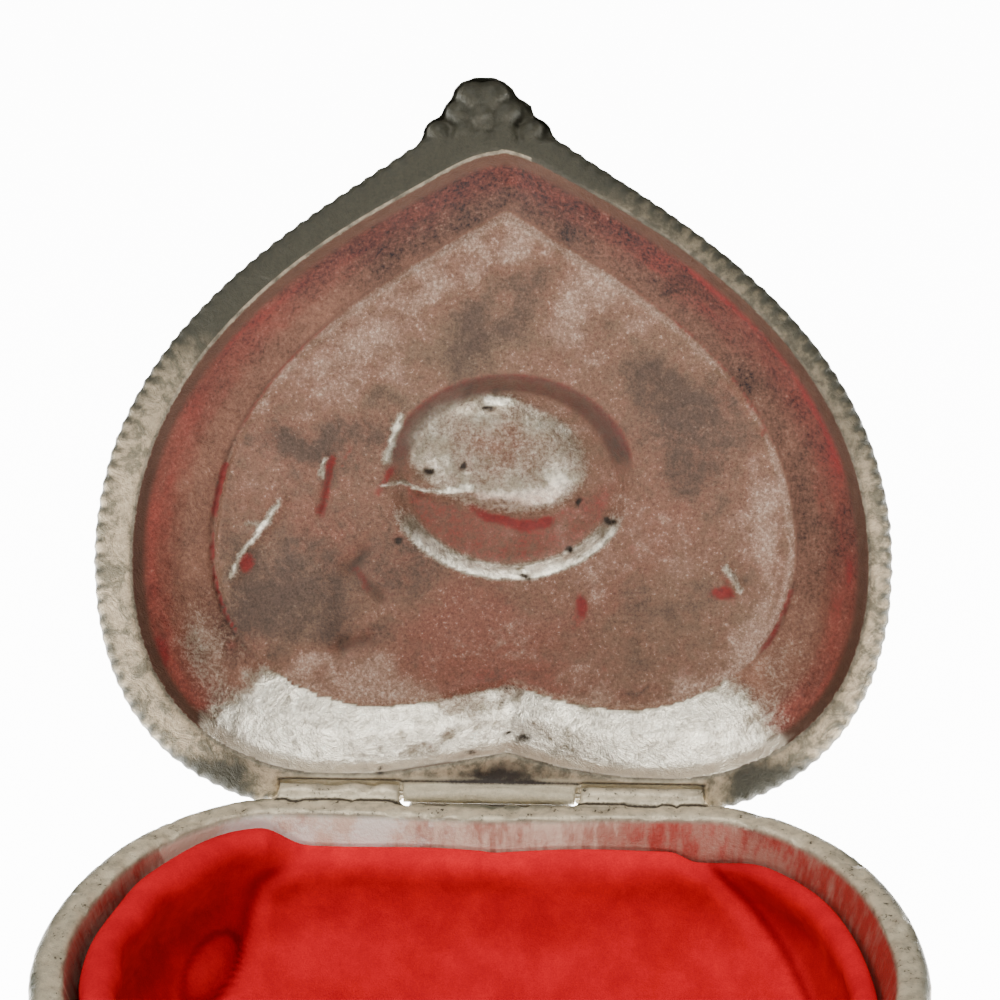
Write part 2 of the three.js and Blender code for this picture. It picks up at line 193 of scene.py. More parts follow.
def resample(loop, count):
    """The same loop with its points the same distance apart."""
    closed = np.concatenate([loop, loop[:1]])
    run = np.concatenate([[0], np.cumsum(np.hypot(*np.diff(closed, axis=0).T))])
    at = np.linspace(0, run[-1], count, endpoint=False)
    return np.stack([np.interp(at, run, closed[:, k]) for k in (0, 1)], axis=1)


def inside(points, loop):
    hits = np.zeros(len(points), dtype=int)
    for a, b in zip(loop, np.roll(loop, -1, axis=0)):
        if a[1] == b[1]:
            continue
        crosses = (a[1] > points[:, 1]) != (b[1] > points[:, 1])
        at = a[0] + (points[:, 1] - a[1]) * (b[0] - a[0]) / (b[1] - a[1])
        hits += crosses & (points[:, 0] < at)
    return hits % 2 == 1


def within(points, outline):
    """How far inside a heart each point is, where along it, and the heart's length."""
    loop = heart(outline)
    dist, along, length = from_line(points, loop, closed=True)
    side = np.where(inside(points, loop), 1.0, -1.0)
    return dist * side, along, length


def stroke(points, line, width, soft=0.35):
    """1 along a scratch or smear of a width in mm, fading to 0 beside it."""
    dist = from_line(points, np.array(line, dtype=float))[0]
    return 1 - ease(width / 2 - soft / 2, width / 2 + soft, dist)


def spot(points, x, v, half_x, half_v):
    """1 in the middle of a soft oval spot, and 0 outside it."""
    return np.exp(-(((points[:, 0] - x) / half_x) ** 2 + ((points[:, 1] - v) / half_v) ** 2))


def strokes(points, table):
    return sum(amount * stroke(points, line, width, soft) for amount, line, width, soft in table)


def spots(points, table):
    return sum(amount * spot(points, *place) for *place, amount in table)


def grain(points, size, seed):
    """Smooth noise from 0 to 1, the same each run."""
    q = points / size
    cell = np.floor(q).astype(np.int64)
    f = q - cell
    f = f * f * (3 - 2 * f)
    total = np.zeros(len(points))
    for dx in (0, 1):
        for dy in (0, 1):
            for dz in (0, 1):
                n = ((cell[:, 0] + dx) * 73856093) ^ ((cell[:, 1] + dy) * 19349663)
                n = n ^ ((cell[:, 2] + dz) * 83492791) ^ (seed * 2654435761)
                n = (n ^ (n >> 13)) * 1274126177 & 0x7FFFFFFF
                n = (n ^ (n >> 16)) & 0xFFFF
                share = np.where(dx, f[:, 0], 1 - f[:, 0]) * np.where(dy, f[:, 1], 1 - f[:, 1])
                total += share * np.where(dz, f[:, 2], 1 - f[:, 2]) * n / 65535
    return total


def waver(points, size, seed, amount):
    """The same noise about 0, as much as an amount from end to end."""
    return (grain(points, size, seed) - 0.5) * amount


def at_vertices(piece, what):
    flat = np.empty(len(piece.data.vertices) * 3)
    piece.data.vertices.foreach_get(what, flat)
    return flat.reshape(-1, 3)


def points_of(piece):
    """The vertices of a piece, in mm."""
    return at_vertices(piece, "co") / MM


def put_points(piece, points):
    piece.data.vertices.foreach_set("co", (points * MM).ravel())
    piece.data.update()


def mark(piece, **named):
    """Stores numbers at each vertex, which the material reads by their names."""
    for name, values in named.items():
        layer = piece.data.attributes.new(name, "FLOAT", "POINT")
        layer.data.foreach_set("value", np.clip(values, -1, 1).astype(np.float32))


# Materials.

def sums(operation):
    """A sum of a Value and another or a number, and the same with the two the other way round."""
    def straight(self, other):
        return self.finish.node("ShaderNodeMath", {"operation": operation}, {0: self, 1: other})

    def reflected(self, other):
        return self.finish.node("ShaderNodeMath", {"operation": operation}, {0: other, 1: self})
    return straight, reflected


class Value:
    """A number or colour inside a material, so that its sums are written as Python."""

    def __init__(self, finish, socket):
        self.finish = finish
        self.socket = socket

    __add__, __radd__ = sums("ADD")
    __sub__, __rsub__ = sums("SUBTRACT")
    __mul__, __rmul__ = sums("MULTIPLY")


class Finish:
    """A material under the hand: its nodes, and the surface that they end in."""

    def __init__(self, name):
        self.material = bpy.data.materials.new(name)
        self.material.use_nodes = True
        self.tree = self.material.node_tree
        self.surface = self.tree.nodes["Principled BSDF"]
        self.place = self.node("ShaderNodeTexCoord", {}, {}, "Object")

    def node(self, kind, settings, values, out=0):
        node = self.tree.nodes.new(kind)
        for key, setting in settings.items():
            setattr(node, key, setting)
        for key, value in values.items():
            if isinstance(value, Value):
                self.tree.links.new(value.socket, node.inputs[key])
            else:
                node.inputs[key].default_value = value
        return Value(self, node.outputs[out])

    def noise(self, size, detail=2, roughness=0.5, distortion=0.0, place=None):
        return self.node("ShaderNodeTexNoise", {}, {
            "Vector": place or self.place, "Scale": 1 / (size * MM), "Detail": detail,
            "Roughness": roughness, "Distortion": distortion}, "Fac")

    def stretched(self, sx, sy, sz):
        return self.node("ShaderNodeMapping", {}, {"Vector": self.place, "Scale": (sx, sy, sz)})

    def mask(self, name):
        return self.node("ShaderNodeAttribute", {"attribute_name": name}, {}, "Fac")

    def step(self, value, low, high):
        return self.node("ShaderNodeMapRange", {"interpolation_type": "SMOOTHSTEP"}, {
            "Value": value, "From Min": low, "From Max": high, "To Min": 0, "To Max": 1}, "Result")

    def mix(self, share, first, second):
        values = {0: share}
        for key, colour in ((6, first), (7, second)):
            values[key] = colour if isinstance(colour, Value) else (*colour, 1)
        return self.node("ShaderNodeMix", {"data_type": "RGBA"}, values, 2)

    def blend(self, value, low, high, first, second):
        """The first colour where a value is low, and the second where it is high."""
        return self.mix(self.step(value, low, high), first, second)

    def shade(self, colour, amount):
        """A colour made lighter or darker by a number about 1."""
        grey = self.node("ShaderNodeCombineColor", {}, {0: amount, 1: amount, 2: amount})
        return self.node("ShaderNodeMix", {"data_type": "RGBA", "blend_type": "MULTIPLY"},
                         {0: 1.0, 6: colour, 7: grey}, 2)

    def set(self, name, value):
        if isinstance(value, Value):
            self.tree.links.new(value.socket, self.surface.inputs[name])
        else:
            self.surface.inputs[name].default_value = value

    def bump(self, height, depth, strength=1.0, under=None):
        values = {"Height": height, "Distance": depth * MM, "Strength": strength}
        if under is not None:
            values["Normal"] = under
        return self.node("ShaderNodeBump", {}, values)


def coat(piece, finish):
    piece.data.materials.clear()
    piece.data.materials.append(finish.material)


# The castings.

def only(piece):
    bpy.ops.object.select_all(action="DESELECT")
    piece.select_set(True)
    bpy.context.view_layer.objects.active = piece


def apply_modifier(piece, kind, **settings):
    modifier = piece.modifiers.new(kind.lower(), kind)
    for key, value in settings.items():
        setattr(modifier, key, value)
    only(piece)
    bpy.ops.object.modifier_apply(modifier=modifier.name)


def solid_knuckle(x0, x1):
    """Fills the bore of a knuckle, so that the casting can be remeshed in one skin."""
    bpy.ops.mesh.primitive_cylinder_add(
        vertices=24, radius=0.85 * KNUCKLE_RADIUS * MM, depth=(x1 - x0) * MM,
        location=((x0 + x1) / 2 * MM, HINGE.y, HINGE.z), rotation=(0, math.pi / 2, 0))
    return bpy.context.active_object


def bead(places, ways, outs, length, width, height):
    """A row of cast beads: the same small oval at each place, along its way and standing out."""
    bpy.ops.mesh.primitive_uv_sphere_add(segments=10, ring_count=6, radius=1, location=(0, 0, 0))
    row = bpy.context.active_object
    shape = points_of(row) * MM
    polygons = [tuple(p.vertices) for p in row.data.polygons]
    points = []
    faces = []
    for place, way, out in zip(places, ways, outs):
        side = np.cross(out, way)
        start = len(points) * len(shape)
        points.append(place + shape[:, :1] * length * way + shape[:, 1:2] * width * side
                      + shape[:, 2:] * height * out)
        faces += [tuple(start + k for k in face) for face in polygons]
    mesh = bpy.data.meshes.new("beads")
    mesh.from_pydata((np.concatenate(points) * MM).tolist(), [], faces)
    row.data = mesh
    return row


def cast(node, name, voxel, fillers):
    """A casting in one even skin, from a copy of its solid."""
    piece = frame["nodes"][node].copy()
    piece.data = piece.data.copy()
    piece.name = name
    piece.data.name = name
    bpy.context.collection.objects.link(piece)
    only(piece)
    bpy.ops.object.mode_set(mode="EDIT")
    bpy.ops.mesh.select_all(action="SELECT")
    bpy.ops.mesh.remove_doubles(threshold=0.001 * MM)
    bpy.ops.object.mode_set(mode="OBJECT")
    for filler in fillers:
        filler.select_set(True)
    if fillers:
        bpy.context.view_layer.objects.active = piece
        bpy.ops.object.join()
    apply_modifier(piece, "REMESH", mode="VOXEL", voxel_size=voxel * MM, use_smooth_shade=True)
    apply_modifier(piece, "SMOOTH", factor=0.5, iterations=2)
    return piece


def round_knuckle(points, x0, x1):
    """Brings the knuckle's skin back to a true round."""
    dy = points[:, 1] - HINGE_Y
    dz = points[:, 2] - HINGE_Z
    r = np.hypot(dy, dz)
    near = (points[:, 0] > x0) & (points[:, 0] < x1) & (np.abs(r - KNUCKLE_RADIUS) < 0.3)
    scale = np.where(near, KNUCKLE_RADIUS / np.maximum(r, 0.01), 1.0)
    points[:, 1] = HINGE_Y + dy * scale
    points[:, 2] = HINGE_Z + dz * scale


def lid_places(points):
    """The lid's own coordinates: x and the way from the hinge, and the height outwards."""
    y = points[:, 1] - HINGE_Y
    z = points[:, 2] - HINGE_Z
    v = LEAN_BACK * y + LEAN_UP * z
    h = LEAN_UP * y - LEAN_BACK * z - LID_GAP
    return np.stack([points[:, 0], v], axis=1), h


def lid_world(flat, h):
    """The place in the shared frame of the lid's own coordinates."""
    y = LEAN_BACK * flat[:, 1] + LEAN_UP * (h + LID_GAP)
    z = LEAN_UP * flat[:, 1] - LEAN_BACK * (h + LID_GAP)
    return np.stack([flat[:, 0], HINGE_Y + y, HINGE_Z + z], axis=1)


# Marks inside the lid, in the lid's own coordinates: x and the way from the hinge, in mm.
GROOVE = [(-18.6, 37.2), (-19.1, 34.5), (-19.9, 31.0)]
GROOVE_EDGE = [(-19.3, 37.4), (-19.7, 35.2)]
RIDGE = [(-24.8, 32.3), (-26.2, 29.8), (-28.6, 27.0), (-30.4, 23.8)]
RIDGE_ARM = [(-26.4, 29.8), (-28.6, 29.6)]
DENTS = [[(-14.6, 27.0), (-16.6, 24.4)], [(-15.0, 23.6), (-12.6, 21.2)],
         [(-17.5, 15.2), (-14.4, 16.2)]]
NICK = [(26.4, 25.4), (28.0, 22.6)]
SPUR = [(-12.9, 34.4), (-10.8, 34.6), (-9.0, 33.7), (-6.0, 33.3), (-3.0, 33.7)]
VALLEY_LINE = [(-2.6, 31.6), (-0.6, 30.4), (2.6, 29.8), (5.6, 30.3)]
PITS = [(-7.7, 36.1, 0.75, 0.5), (-0.9, 43.4, 0.8, 0.35), (9.7, 32.4, 0.4, 0.7), (-3.4, 36.4, 0.4, 0.5),
        (-11.0, 28.0, 0.5, 0.4), (8.2, 26.6, 0.6, 0.4), (13.2, 30.3, 0.6, 0.4), (3.4, 24.2, 0.6, 0.3)]
SCRATCHES = [[(20.0, 12.5), (25.5, 17.2)], [(21.6, 12.4), (26.6, 16.4)], [(22.8, 13.0), (26.2, 18.0)],
             [(19.4, 14.6), (23.4, 17.6)], [(24.0, 11.6), (27.6, 14.2)]]

# Strokes of relief inside the lid: how deep in mm, the line, its width and its softness.
RELIEF = [(0.65, GROOVE, 0.6, 0.8), (-0.5, GROOVE_EDGE, 0.4, 0.8), (-0.8, RIDGE, 0.4, 1.6),
          (-0.5, RIDGE_ARM, 0.4, 1.0), (-0.7, NICK, 0.5, 1.1), (-0.6, SPUR, 0.4, 0.9),
          *((0.6, dent, 1.0, 1.4) for dent in DENTS)]

# The knob's lumps: x, the way from the hinge, the height outwards, and the radius.
KNOB_LUMPS = [
    (-2.7, 77.4, 1.0, 2.3), (-0.5, 77.55, 1.1, 2.3), (-4.2, 75.6, 1.0, 1.9), (1.2, 75.8, 1.0, 1.9),
    (-6.4, 73.5, 1.1, 1.8), (3.8, 73.7, 1.1, 1.8), (-1.6, 75.2, 0.9, 2.2), (-3.6, 73.2, 1.0, 2.0),
    (0.9, 73.4, 1.0, 2.0), (-1.4, 72.9, 1.0, 1.6),
]


def boss_radius(flat):
    return np.hypot((flat[:, 0] - BOSS_X + 0.4) / BOSS_HALF_WIDTH,
                    (flat[:, 1] - BOSS_V) / BOSS_HALF_LENGTH)


def lump_radius(flat):
    return np.hypot((flat[:, 0] - 0.2) / 11.6, (flat[:, 1] - 37.9 + 0.1 * flat[:, 0]) / 7.3)


def recess_height(flat):
    """How deep the oval inside the lid is, below its panel, with the lump that stands in it."""
    r = boss_radius(flat)
    lump = lump_radius(flat)
    moat = 2.2 * fade(0.8, 1.02, r) + 0.5 * fade(0.3, 0.9, r)
    return moat - 1.7 * fade(0.55, 1.08, lump) + 0.35 * fade(0.0, 0.5, lump)


def lid_ways():
    """The open lid's origin in the shared frame, and the way outwards from it."""
    origin = lid_world(np.zeros((1, 2)), np.zeros(1))
    return origin, lid_world(np.zeros((1, 2)), np.ones(1)) - origin


def strand_count(length):
    return 2 * round(length / ROPE_PITCH / 2)


def lid_rope():
    """The roped edge: slanted strands round the rim's outer side, but not behind the hinge."""
    loop = heart(LID_OUTLINE, 60)
    at = resample(loop, strand_count(from_line(loop[:1], loop, closed=True)[2]))
    tangent = np.roll(at, -1, axis=0) - np.roll(at, 1, axis=0)
    tangent /= np.hypot(tangent[:, 0], tangent[:, 1])[:, None]
    out = np.stack([tangent[:, 1], -tangent[:, 0]], axis=1)
    keep = ~((np.abs(at[:, 0]) < HINGE_HALF + 1) & (at[:, 1] < 4)) & (at[:, 1] < 76)
    at, tangent, out = at[keep], tangent[keep], out[keep]
    zero = np.zeros(len(at))
    places = lid_world(at - out * STRAND_INSET, zero + STRAND_HEIGHT)
    origin, up = lid_ways()
    outward = lid_world(out, zero) - origin
    run = lid_world(tangent, zero) - origin
    way = up * math.cos(STRAND_SLANT) + run * math.sin(STRAND_SLANT)
    return bead(places, way, outward, *STRAND_SIZE)


def lid_knob():
    """The cast knob at the tip: a cluster of rounded lumps."""
    lumps = np.array(KNOB_LUMPS)
    places = lid_world(lumps[:, :2], lumps[:, 2])
    up = np.repeat(lid_ways()[1], len(lumps), axis=0)
    way = np.repeat(np.array([[1.0, 0.0, 0.0]]), len(lumps), axis=0)
    return [bead(places[k:k + 1], way[k:k + 1], up[k:k + 1], r, r, r * 0.8)
            for k, r in enumerate(lumps[:, 3])]


def make_lid():
    """The lid's casting, with its rope, knob, the wear and marks inside with their painted light and
    shade, and the lobes outside.
    """
    fillers = [solid_knuckle(*LID_KNUCKLE), lid_rope(), *lid_knob()]
    lid = cast("lid", "lid_casting", LID_VOXEL, fillers)
    points = points_of(lid)
    round_knuckle(points, *LID_KNUCKLE)
    put_points(lid, points)
    normals = at_vertices(lid, "normal")
    flat, h = lid_places(points)
    facing = LEAN_UP * normals[:, 1] - LEAN_BACK * normals[:, 2]
    to_rim, along, rim_length = within(flat, LID_OUTLINE)
    to_mouth, mouth_along, _ = within(flat, LID_MOUTH)
    to_panel, panel_along, panel_length = within(flat, LID_PANEL)
    x, v = flat[:, 0], flat[:, 1]
    in_dish = (facing < -0.15) & (to_mouth > -0.3) & (h > 0.3)
    dish = in_dish * ease(-0.2, 0.6, to_mouth)

    # The oval's hollow and lump, the crease round the panel, and the small marks.
    r = boss_radius(flat)
    in_oval = in_dish & (r < 1.08)
    target = PANEL_DEPTH + recess_height(flat)
    blend = fade(0.98, 1.08, r)
    h = np.where(in_oval, h + (target - h) * blend, h)
    left_crease = between(v, 16, 20, 36, 40) * (x < 0)
    right_crease = between(v, 14.5, 17, 21.5, 23.5) * (x > 0)
    crease = hump(to_panel, 0.1, 0.32)
    lip = hump(to_panel, 0.9, 0.4)
    h += dish * crease * (0.12 + 0.3 * left_crease + 0.35 * right_crease)
    h -= dish * lip * 0.12
    h += dish * strokes(flat, RELIEF)
    for pit in PITS:
        h += dish * 0.5 * spot(flat, *pit)
    # Slow waves and casting grain all over the inside, less near the hinge.
    wave = waver(points, 5.5, 3, 0.55) + waver(points, 2.4, 5, 0.26) + waver(points, 0.9, 7, 0.12)
    h += dish * wave * (1 - 0.6 * fade(7, 11, v))
    # The rim's face at the tip is cut into the same lumps as the knob.
    dome = np.zeros(len(x))
    for lump_x, lump_v, _, size in KNOB_LUMPS:
        aside = np.hypot(x - lump_x, v - lump_v) / (size * 0.85)
        dome = np.maximum(dome, np.sqrt(np.clip(1 - aside ** 2, 0, 1)))
    knob = (facing < -0.3) * ease(72.2, 73.6, v)
    h += knob * (1 - dome) * 1.3
    # The mouth's edge runs in a blunt arch at the tip.
    arch = (facing < 0.2) * hump(v, 70.5, 5.0)
    flat = flat.copy()
    flat[:, 1] += arch * (1.0 * hump(x, 0, 7) - 1.5 * np.exp(-np.abs(x - 0.4) / 3.2))
    # The face stays above the rim of the base when the box is shut.
    off_base = np.clip(-0.5 - within(flat, BASE_OUTLINE)[0], 0, 1)
    h = np.maximum(h, -0.04 - 1.3 * off_base)
    # Outside, a band of lobes runs round the raised middle.
    strand = np.cos(2 * math.pi * along / rim_length * strand_count(rim_length))
    band = (facing > 0.25) * between(-to_panel, 0.8, 2.0, 6.0, 7.5) * (h > 3)
    lobes = np.abs(np.sin(math.pi * panel_along / panel_length * LID_LOBES))
    h -= band * LOBE_DEPTH * (1 - lobes) ** 1.5
    points = lid_world(flat, h)
    put_points(lid, points)

    foot = (facing > 0) * (h > 3) * hump(to_panel, -0.4, 0.6)
    mark(lid, recess=band * fade(0.1, 0.6, lobes) + 0.7 * foot)
    mark(lid, height=h / FAR)
    near_axis = np.hypot(points[:, 1] - HINGE_Y, points[:, 2] - HINGE_Z)
    mark(lid, knuckle=fade(1.3, 2.2, near_axis) * (np.abs(x) < HINGE_HALF))
    # Painted shade in the grooves between the rope's strands.
    mark(lid, strand=fade(1.0, 2.0, to_rim) * ease(-0.2, 0.5, -strand) * (np.abs(h - 1.0) < 2.2))
    mark(lid, dish=dish)
    mark(lid, rim=(facing < -0.5) * fade(-0.4, 0.1, to_mouth) * ease(0.3, 1.0, to_rim))
    mark(lid, to_mouth=to_mouth / FAR)
    mark(lid, to_panel=to_panel / FAR)
    mark(lid, wall=in_dish * fade(0.9, 1.5, to_mouth))
    mark_lid_colours(lid, flat, h, to_mouth, mouth_along, to_panel, to_rim, dish, r, points)
    return lid


# Places inside the lid that are lighter or darker, redder or greener:
# x, the way from the hinge, the two half sizes, how light and how red.
BLOTCHES = [
    (0.4, 53.6, 6, 3.6, -0.9, -0.3), (-4, 49.5, 7, 2.6, -0.7, -0.6), (19.8, 46.7, 6, 6, -0.8, -0.3),
    (23, 38, 8, 7, -0.7, 0), (-22.5, 39, 8, 3.2, -0.8, 0), (-24.5, 21.5, 9, 5, -0.7, -0.7),
    (18, 20, 9, 5, -0.5, -0.3), (16.9, 10.6, 3.2, 0.9, -1, 0.2), (-10, 26, 7, 4, -0.6, 0.1),
    (-2, 16.5, 8, 4.5, -0.1, 0.9), (-14, 11.5, 8, 2.6, 0.75, 0), (24, 11.5, 7, 2.4, 0.5, -0.1),
    (-0.5, 62, 5, 2.6, 0.7, 0.2), (-15, 51, 9, 5, 0.55, 0.05), (12, 57, 5, 4, 0.6, 0.05),
    (-27, 37.5, 3, 7, 0.5, 0.1), (31, 29, 2.4, 9, 0.8, 0.2), (8, 51, 4, 4, 0.5, 0.05),
    (-20, 45, 6, 3, 0.5, 0.1), (17, 31, 5, 4, 0.15, 0.3), (-20, 28, 5, 6, 0.0, 0.3),
    (30, 17, 2.5, 5, 0.6, -0.2), (-16, 17, 6, 2, -0.4, 0.1), (4.5, 58.4, 2.6, 2.6, -0.6, 0),
    (12, 22, 6, 4, 0.1, 0.35), (-12, 43.5, 5, 1.6, -0.5, -0.5), (28, 45, 3, 3, -0.4, 0.3),
    (2, 12.6, 5, 1.6, -0.5, 0.5), (12, 10.2, 3, 1.4, 0.3, 0), (-28.6, 18, 3, 4, -0.5, 0.3),
    (-8.5, 58.5, 3, 3, 0.6, 0.1), (22, 51, 4, 2.4, 0.45, 0.1), (-22, 13, 5, 2.2, 0.5, 0),
]

# Spots and strokes inside the lid. A spot is x, the way from the hinge, two half sizes and how much,
# and a stroke is how much, the line, its width and its softness.
PAINT_SPOTS = [
    (-38.0, 14.2, 0.9, 2.6, 1.5), (-28.7, 25.2, 0.8, 0.9, 1.3), (26.0, 22.0, 1.3, 0.8, 1.3),
    (26.4, 23.6, 0.5, 0.9, 0.5), (9.9, 20.8, 0.7, 1.3, 1.5), (9.2, 18.6, 0.7, 1.6, 0.4),
    (30.0, 40.5, 0.5, 0.7, 0.6), (29.0, 43.2, 0.5, 1.0, 0.4), (15.6, 27.4, 1.2, 1.4, 0.35),
    (5, 13, 4, 2.2, 0.25), (12.6, 13.0, 0.5, 1.2, 0.4), (22, 13, 1.4, 0.9, 0.35),
    (-30.2, 15.4, 1.4, 1.4, 0.3), (18.5, 28.6, 0.7, 0.7, 0.3), (-1, 12.6, 3, 1.2, 0.3),
]
PAINT_STROKES = [
    (0.6, [(-16.0, 24.6), (-14.6, 22.6)], 0.6, 0.8), (0.75, GROOVE, 0.55, 0.6),
    (0.5, [(-16.4, 38.2), (-17.4, 36.4)], 0.3, 0.4), (0.75, VALLEY_LINE, 0.6, 0.7),
    (0.6, [(-13.4, 33.4), (-12.2, 36.2)], 0.5, 0.6),
]
GRIME_SPOTS = [
    *((*pit, 1.3) for pit in PITS), (0.6, 2.2, 5.2, 0.7, 0.9),
    (1.4, 3.4, 3.6, 1.0, 0.5), (-2.2, 4.6, 0.75, 0.35, 0.9), (2.0, 6.4, 0.675, 0.315, 0.9),
    (3.6, 5.6, 1.2, 0.56, 0.9), (-12.4, 2.2, 0.6, 0.28, 0.9),
]
GRIME_STROKES = [
    *((0.6, dent, 0.9, 1.3) for dent in DENTS),
    (0.45, [(-9.2, 25.6), (-4.0, 23.0), (1.0, 22.6)], 0.4, 0.5),
]
# Painted highlights: spots on the lump, and strokes along the ridges and the edges of the marks.
SHINE_SPOTS = [(6.6, 34.6, 1.6, 2.6, 0.4), (-0.5, 45.0, 3.2, 0.7, 0.4), (2.6, 33.2, 3.6, 0.8, 0.4)]
SHINE_STROKES = [
    (1.0, GROOVE_EDGE, 0.3, 0.4), (0.95, RIDGE, 0.45, 0.5), (0.6, RIDGE_ARM, 0.3, 0.5),
    (0.8, NICK, 0.5, 0.5), (1.0, SPUR, 0.3, 0.4),
    (1.1, [(-11.0, 42.2), (-12.2, 39.6), (-12.9, 37.4)], 0.5, 0.6),
    (0.6, [(-0.8, 44.4), (1.6, 44.2)], 0.6, 0.6),
]


def mark_lid_colours(lid, flat, h, to_mouth, mouth_along, to_panel, to_rim, dish, r, points):
    """Where the lid is light, red, painted or grimy, and where highlights, shade and dark reflections
    are painted on it.
    """
    x, v = flat[:, 0], flat[:, 1]
    left, right = x < 0, x > 0
    # The places are taken a little aside, so that no edge runs smooth.
    aside = np.stack([waver(points, 4.2, 41, 6) + waver(points, 1.5, 43, 2.4),
                      waver(points, 4.2, 45, 6) + waver(points, 1.5, 47, 2.4)], axis=1)
    stray = flat + aside
    little = np.stack([waver(points, 0.7, seed, 0.5) for seed in (49, 51)], axis=1)
    rough = flat + aside * 0.14 + little
    light = np.zeros(len(x))
    red = np.zeros(len(x))
    for *place, lighter, redder in BLOTCHES:
        blotch = spot(stray, *place)
        light += blotch * lighter
        red += blotch * redder
    light += waver(points, 2.4, 53, 0.45)
    # Painted highlight along the panel's edge, stronger on the right; the panel itself is a little
    # lighter.
    light += 0.8 * hump(to_panel, 0.55, 0.4) * (0.5 + 0.5 * right) + 0.12 * (to_panel > 0)
    on_border = fade(-0.6, 0.2, to_panel)
    # Painted shade: the border is darker towards the top, where it faces down, and also darker on its
    # right side.
    light -= on_border * (1.1 * ease(52, 66, v) + 0.55 * ease(8, 22, x) * ease(20, 30, v))
    light -= on_border * (0.35 * left * ease(40, 50, v) - 0.1 * (x < -20) * fade(36, 46, v))
    light -= (1 - on_border) * 0.35 * ease(0, 26, -x)
    mark(lid, light=light)
    mark(lid, warm=red)
    brush = grain(np.stack([to_mouth * 1.5, mouth_along * 0.22, x * 0], axis=1), 1.0, 55)
    mark(lid, brush=brush)

    # Red residue: in the crease, along the outer part of the border, and in the marks.
    wander = waver(points, 1.1, 57, 0.5)
    crease = np.abs(to_panel + wander * 0.35)
    paint = np.zeros(len(x))
    left_line = left * between(v, 16, 18, 36.5, 38)
    width = 0.08 + 0.34 * ease(26, 34, v) + wander * 0.3
    broken = ease(0.25, 0.6, grain(points, 1.5, 59) + 0.5 * fade(20, 26, v))
    paint += left_line * fade(width * 0.5, width * 0.5 + 0.35, crease) * broken * 0.9
    paint += 0.5 * left * between(v, 38, 42, 52, 56) * fade(0.05, 0.4, crease)
    right_line = right * between(v, 14.5, 16, 22.5, 23.5)
    paint += right_line * fade(0.1, 0.5, crease) * (0.45 + 0.5 * grain(points, 1.2, 60))
    paint += 0.45 * right * between(v, 34, 44, 56, 60) * fade(0.05, 0.45, crease)
    upper_left = left * between(v, 38, 46, 59, 64)
    upper_right = right * between(v, 14, 22, 58, 64)
    left_low = left * between(v, 8, 12, 16, 24) * 0.5
    edge = between(to_mouth, 0.5, 1.2, 1.3, 2.8)
    wide = between(to_mouth, 0.6, 1.6, 3.0, 7.0)
    streaks = ease(0.3, 0.85, 0.65 * brush + 0.35 * grain(points, 3.5, 61))
    paint += edge * (0.95 * upper_left + 0.5 * upper_right + 0.7 * left_low) * streaks
    paint += wide * (0.25 * upper_left + 0.42 * upper_right) * streaks
    paint += spots(rough, PAINT_SPOTS) + strokes(rough, PAINT_STROKES)
    oval = ease(0.3, 0.9, dish)
    arc = between(r, 0.78, 0.86, 0.98, 1.06) * ease(33, 39, v)
    paint += oval * arc * 0.34
    rim_line = hump(r, 1.0, 0.035) * ease(36, 40, v)
    paint += oval * rim_line * 0.25
    # The hollow between the lump and the oval's lower edge.
    lump = lump_radius(flat)
    valley = ease(0.92, 1.05, lump) * fade(0.82, 0.9, r) * fade(33, 37, v)
    paint += oval * valley * 0.42
    paint -= 0.5 * fade(7, 12, v) * (to_panel < 0.4)
    mark(lid, paint=paint * dish)

    # Dark grime and painted shade: grime in the pits, the dents, the scratches and the rim's dark
    # stretch by the hinge; painted shade on the oval's upper arc, in the crease round the panel and in
    # a line at the wall's foot along the hinge.
    # Painted shade on the oval's upper arc, which faces down; the spots and strokes are grime.
    grime = oval * arc * 0.6 + spots(rough, GRIME_SPOTS) + strokes(rough, GRIME_STROKES)
    for scratch in SCRATCHES:
        grime += 0.3 * stroke(flat, scratch, 0.12, 0.3)
    # Painted shade in the crease round the panel.
    grime += 0.52 * hump(to_panel, -0.2, 0.32) * dish * ease(8, 16, v)
    # A painted shadow line at the wall's foot along the hinge.
    grime += 0.85 * (np.abs(x) < 24.2) * hump(v, 1.35, 0.3) * (h < 2)
    mark(lid, grime=grime)

    # Bright worn metal and painted highlights: the low part of the border, worn and painted lit where
    # it faces up, and painted highlights on the lump, the arc under it, a few spots and the ridges.
    shine = np.zeros(len(x))
    reach = 10.6 + 1.6 * hump(x, -23, 7) + 1.4 * hump(x, 23, 7)
    low = fade(reach - 3.0, reach + 4.0, v + 0.6 * np.clip(np.abs(x) - 27, 0, 20) + wander * 3)
    bright = 0.88 + 0.42 * ease(0.3, 0.65, grain(points, 2.6, 63)) - 0.12 * hump(x, -6, 5)
    shine += low * dish * (to_panel < 0.2) * (bright + 0.2 * hump(np.abs(x), 19, 7))
    # Painted highlights on the lump and on the arc under it, which face up, and on a few spots.
    shine += oval * fade(0.82, 1.0, lump) * (0.56 + 0.18 * ease(0.3, 0.7, grain(points, 2.0, 65)))
    shine += oval * spots(rough, SHINE_SPOTS)
    under = between(r, 0.84, 0.9, 0.99, 1.05) * fade(28, 33, v)
    shine += oval * under * (0.75 + 0.5 * grain(points, 1.4, 67))
    corner = spot(stray, -33, 14, 5, 6) + 0.7 * spot(stray, 33, 14, 4.5, 6)
    shine += 0.42 * corner * dish * (to_panel < 0) * ease(1.5, 4.0, to_mouth)
    # Painted highlights along the ridges and the edges of the marks.
    shine += strokes(rough, SHINE_STROKES)
    shine -= 0.5 * spot(rough, 0.2, 38.6, 2.8, 2.8)
    mark(lid, shine=shine)

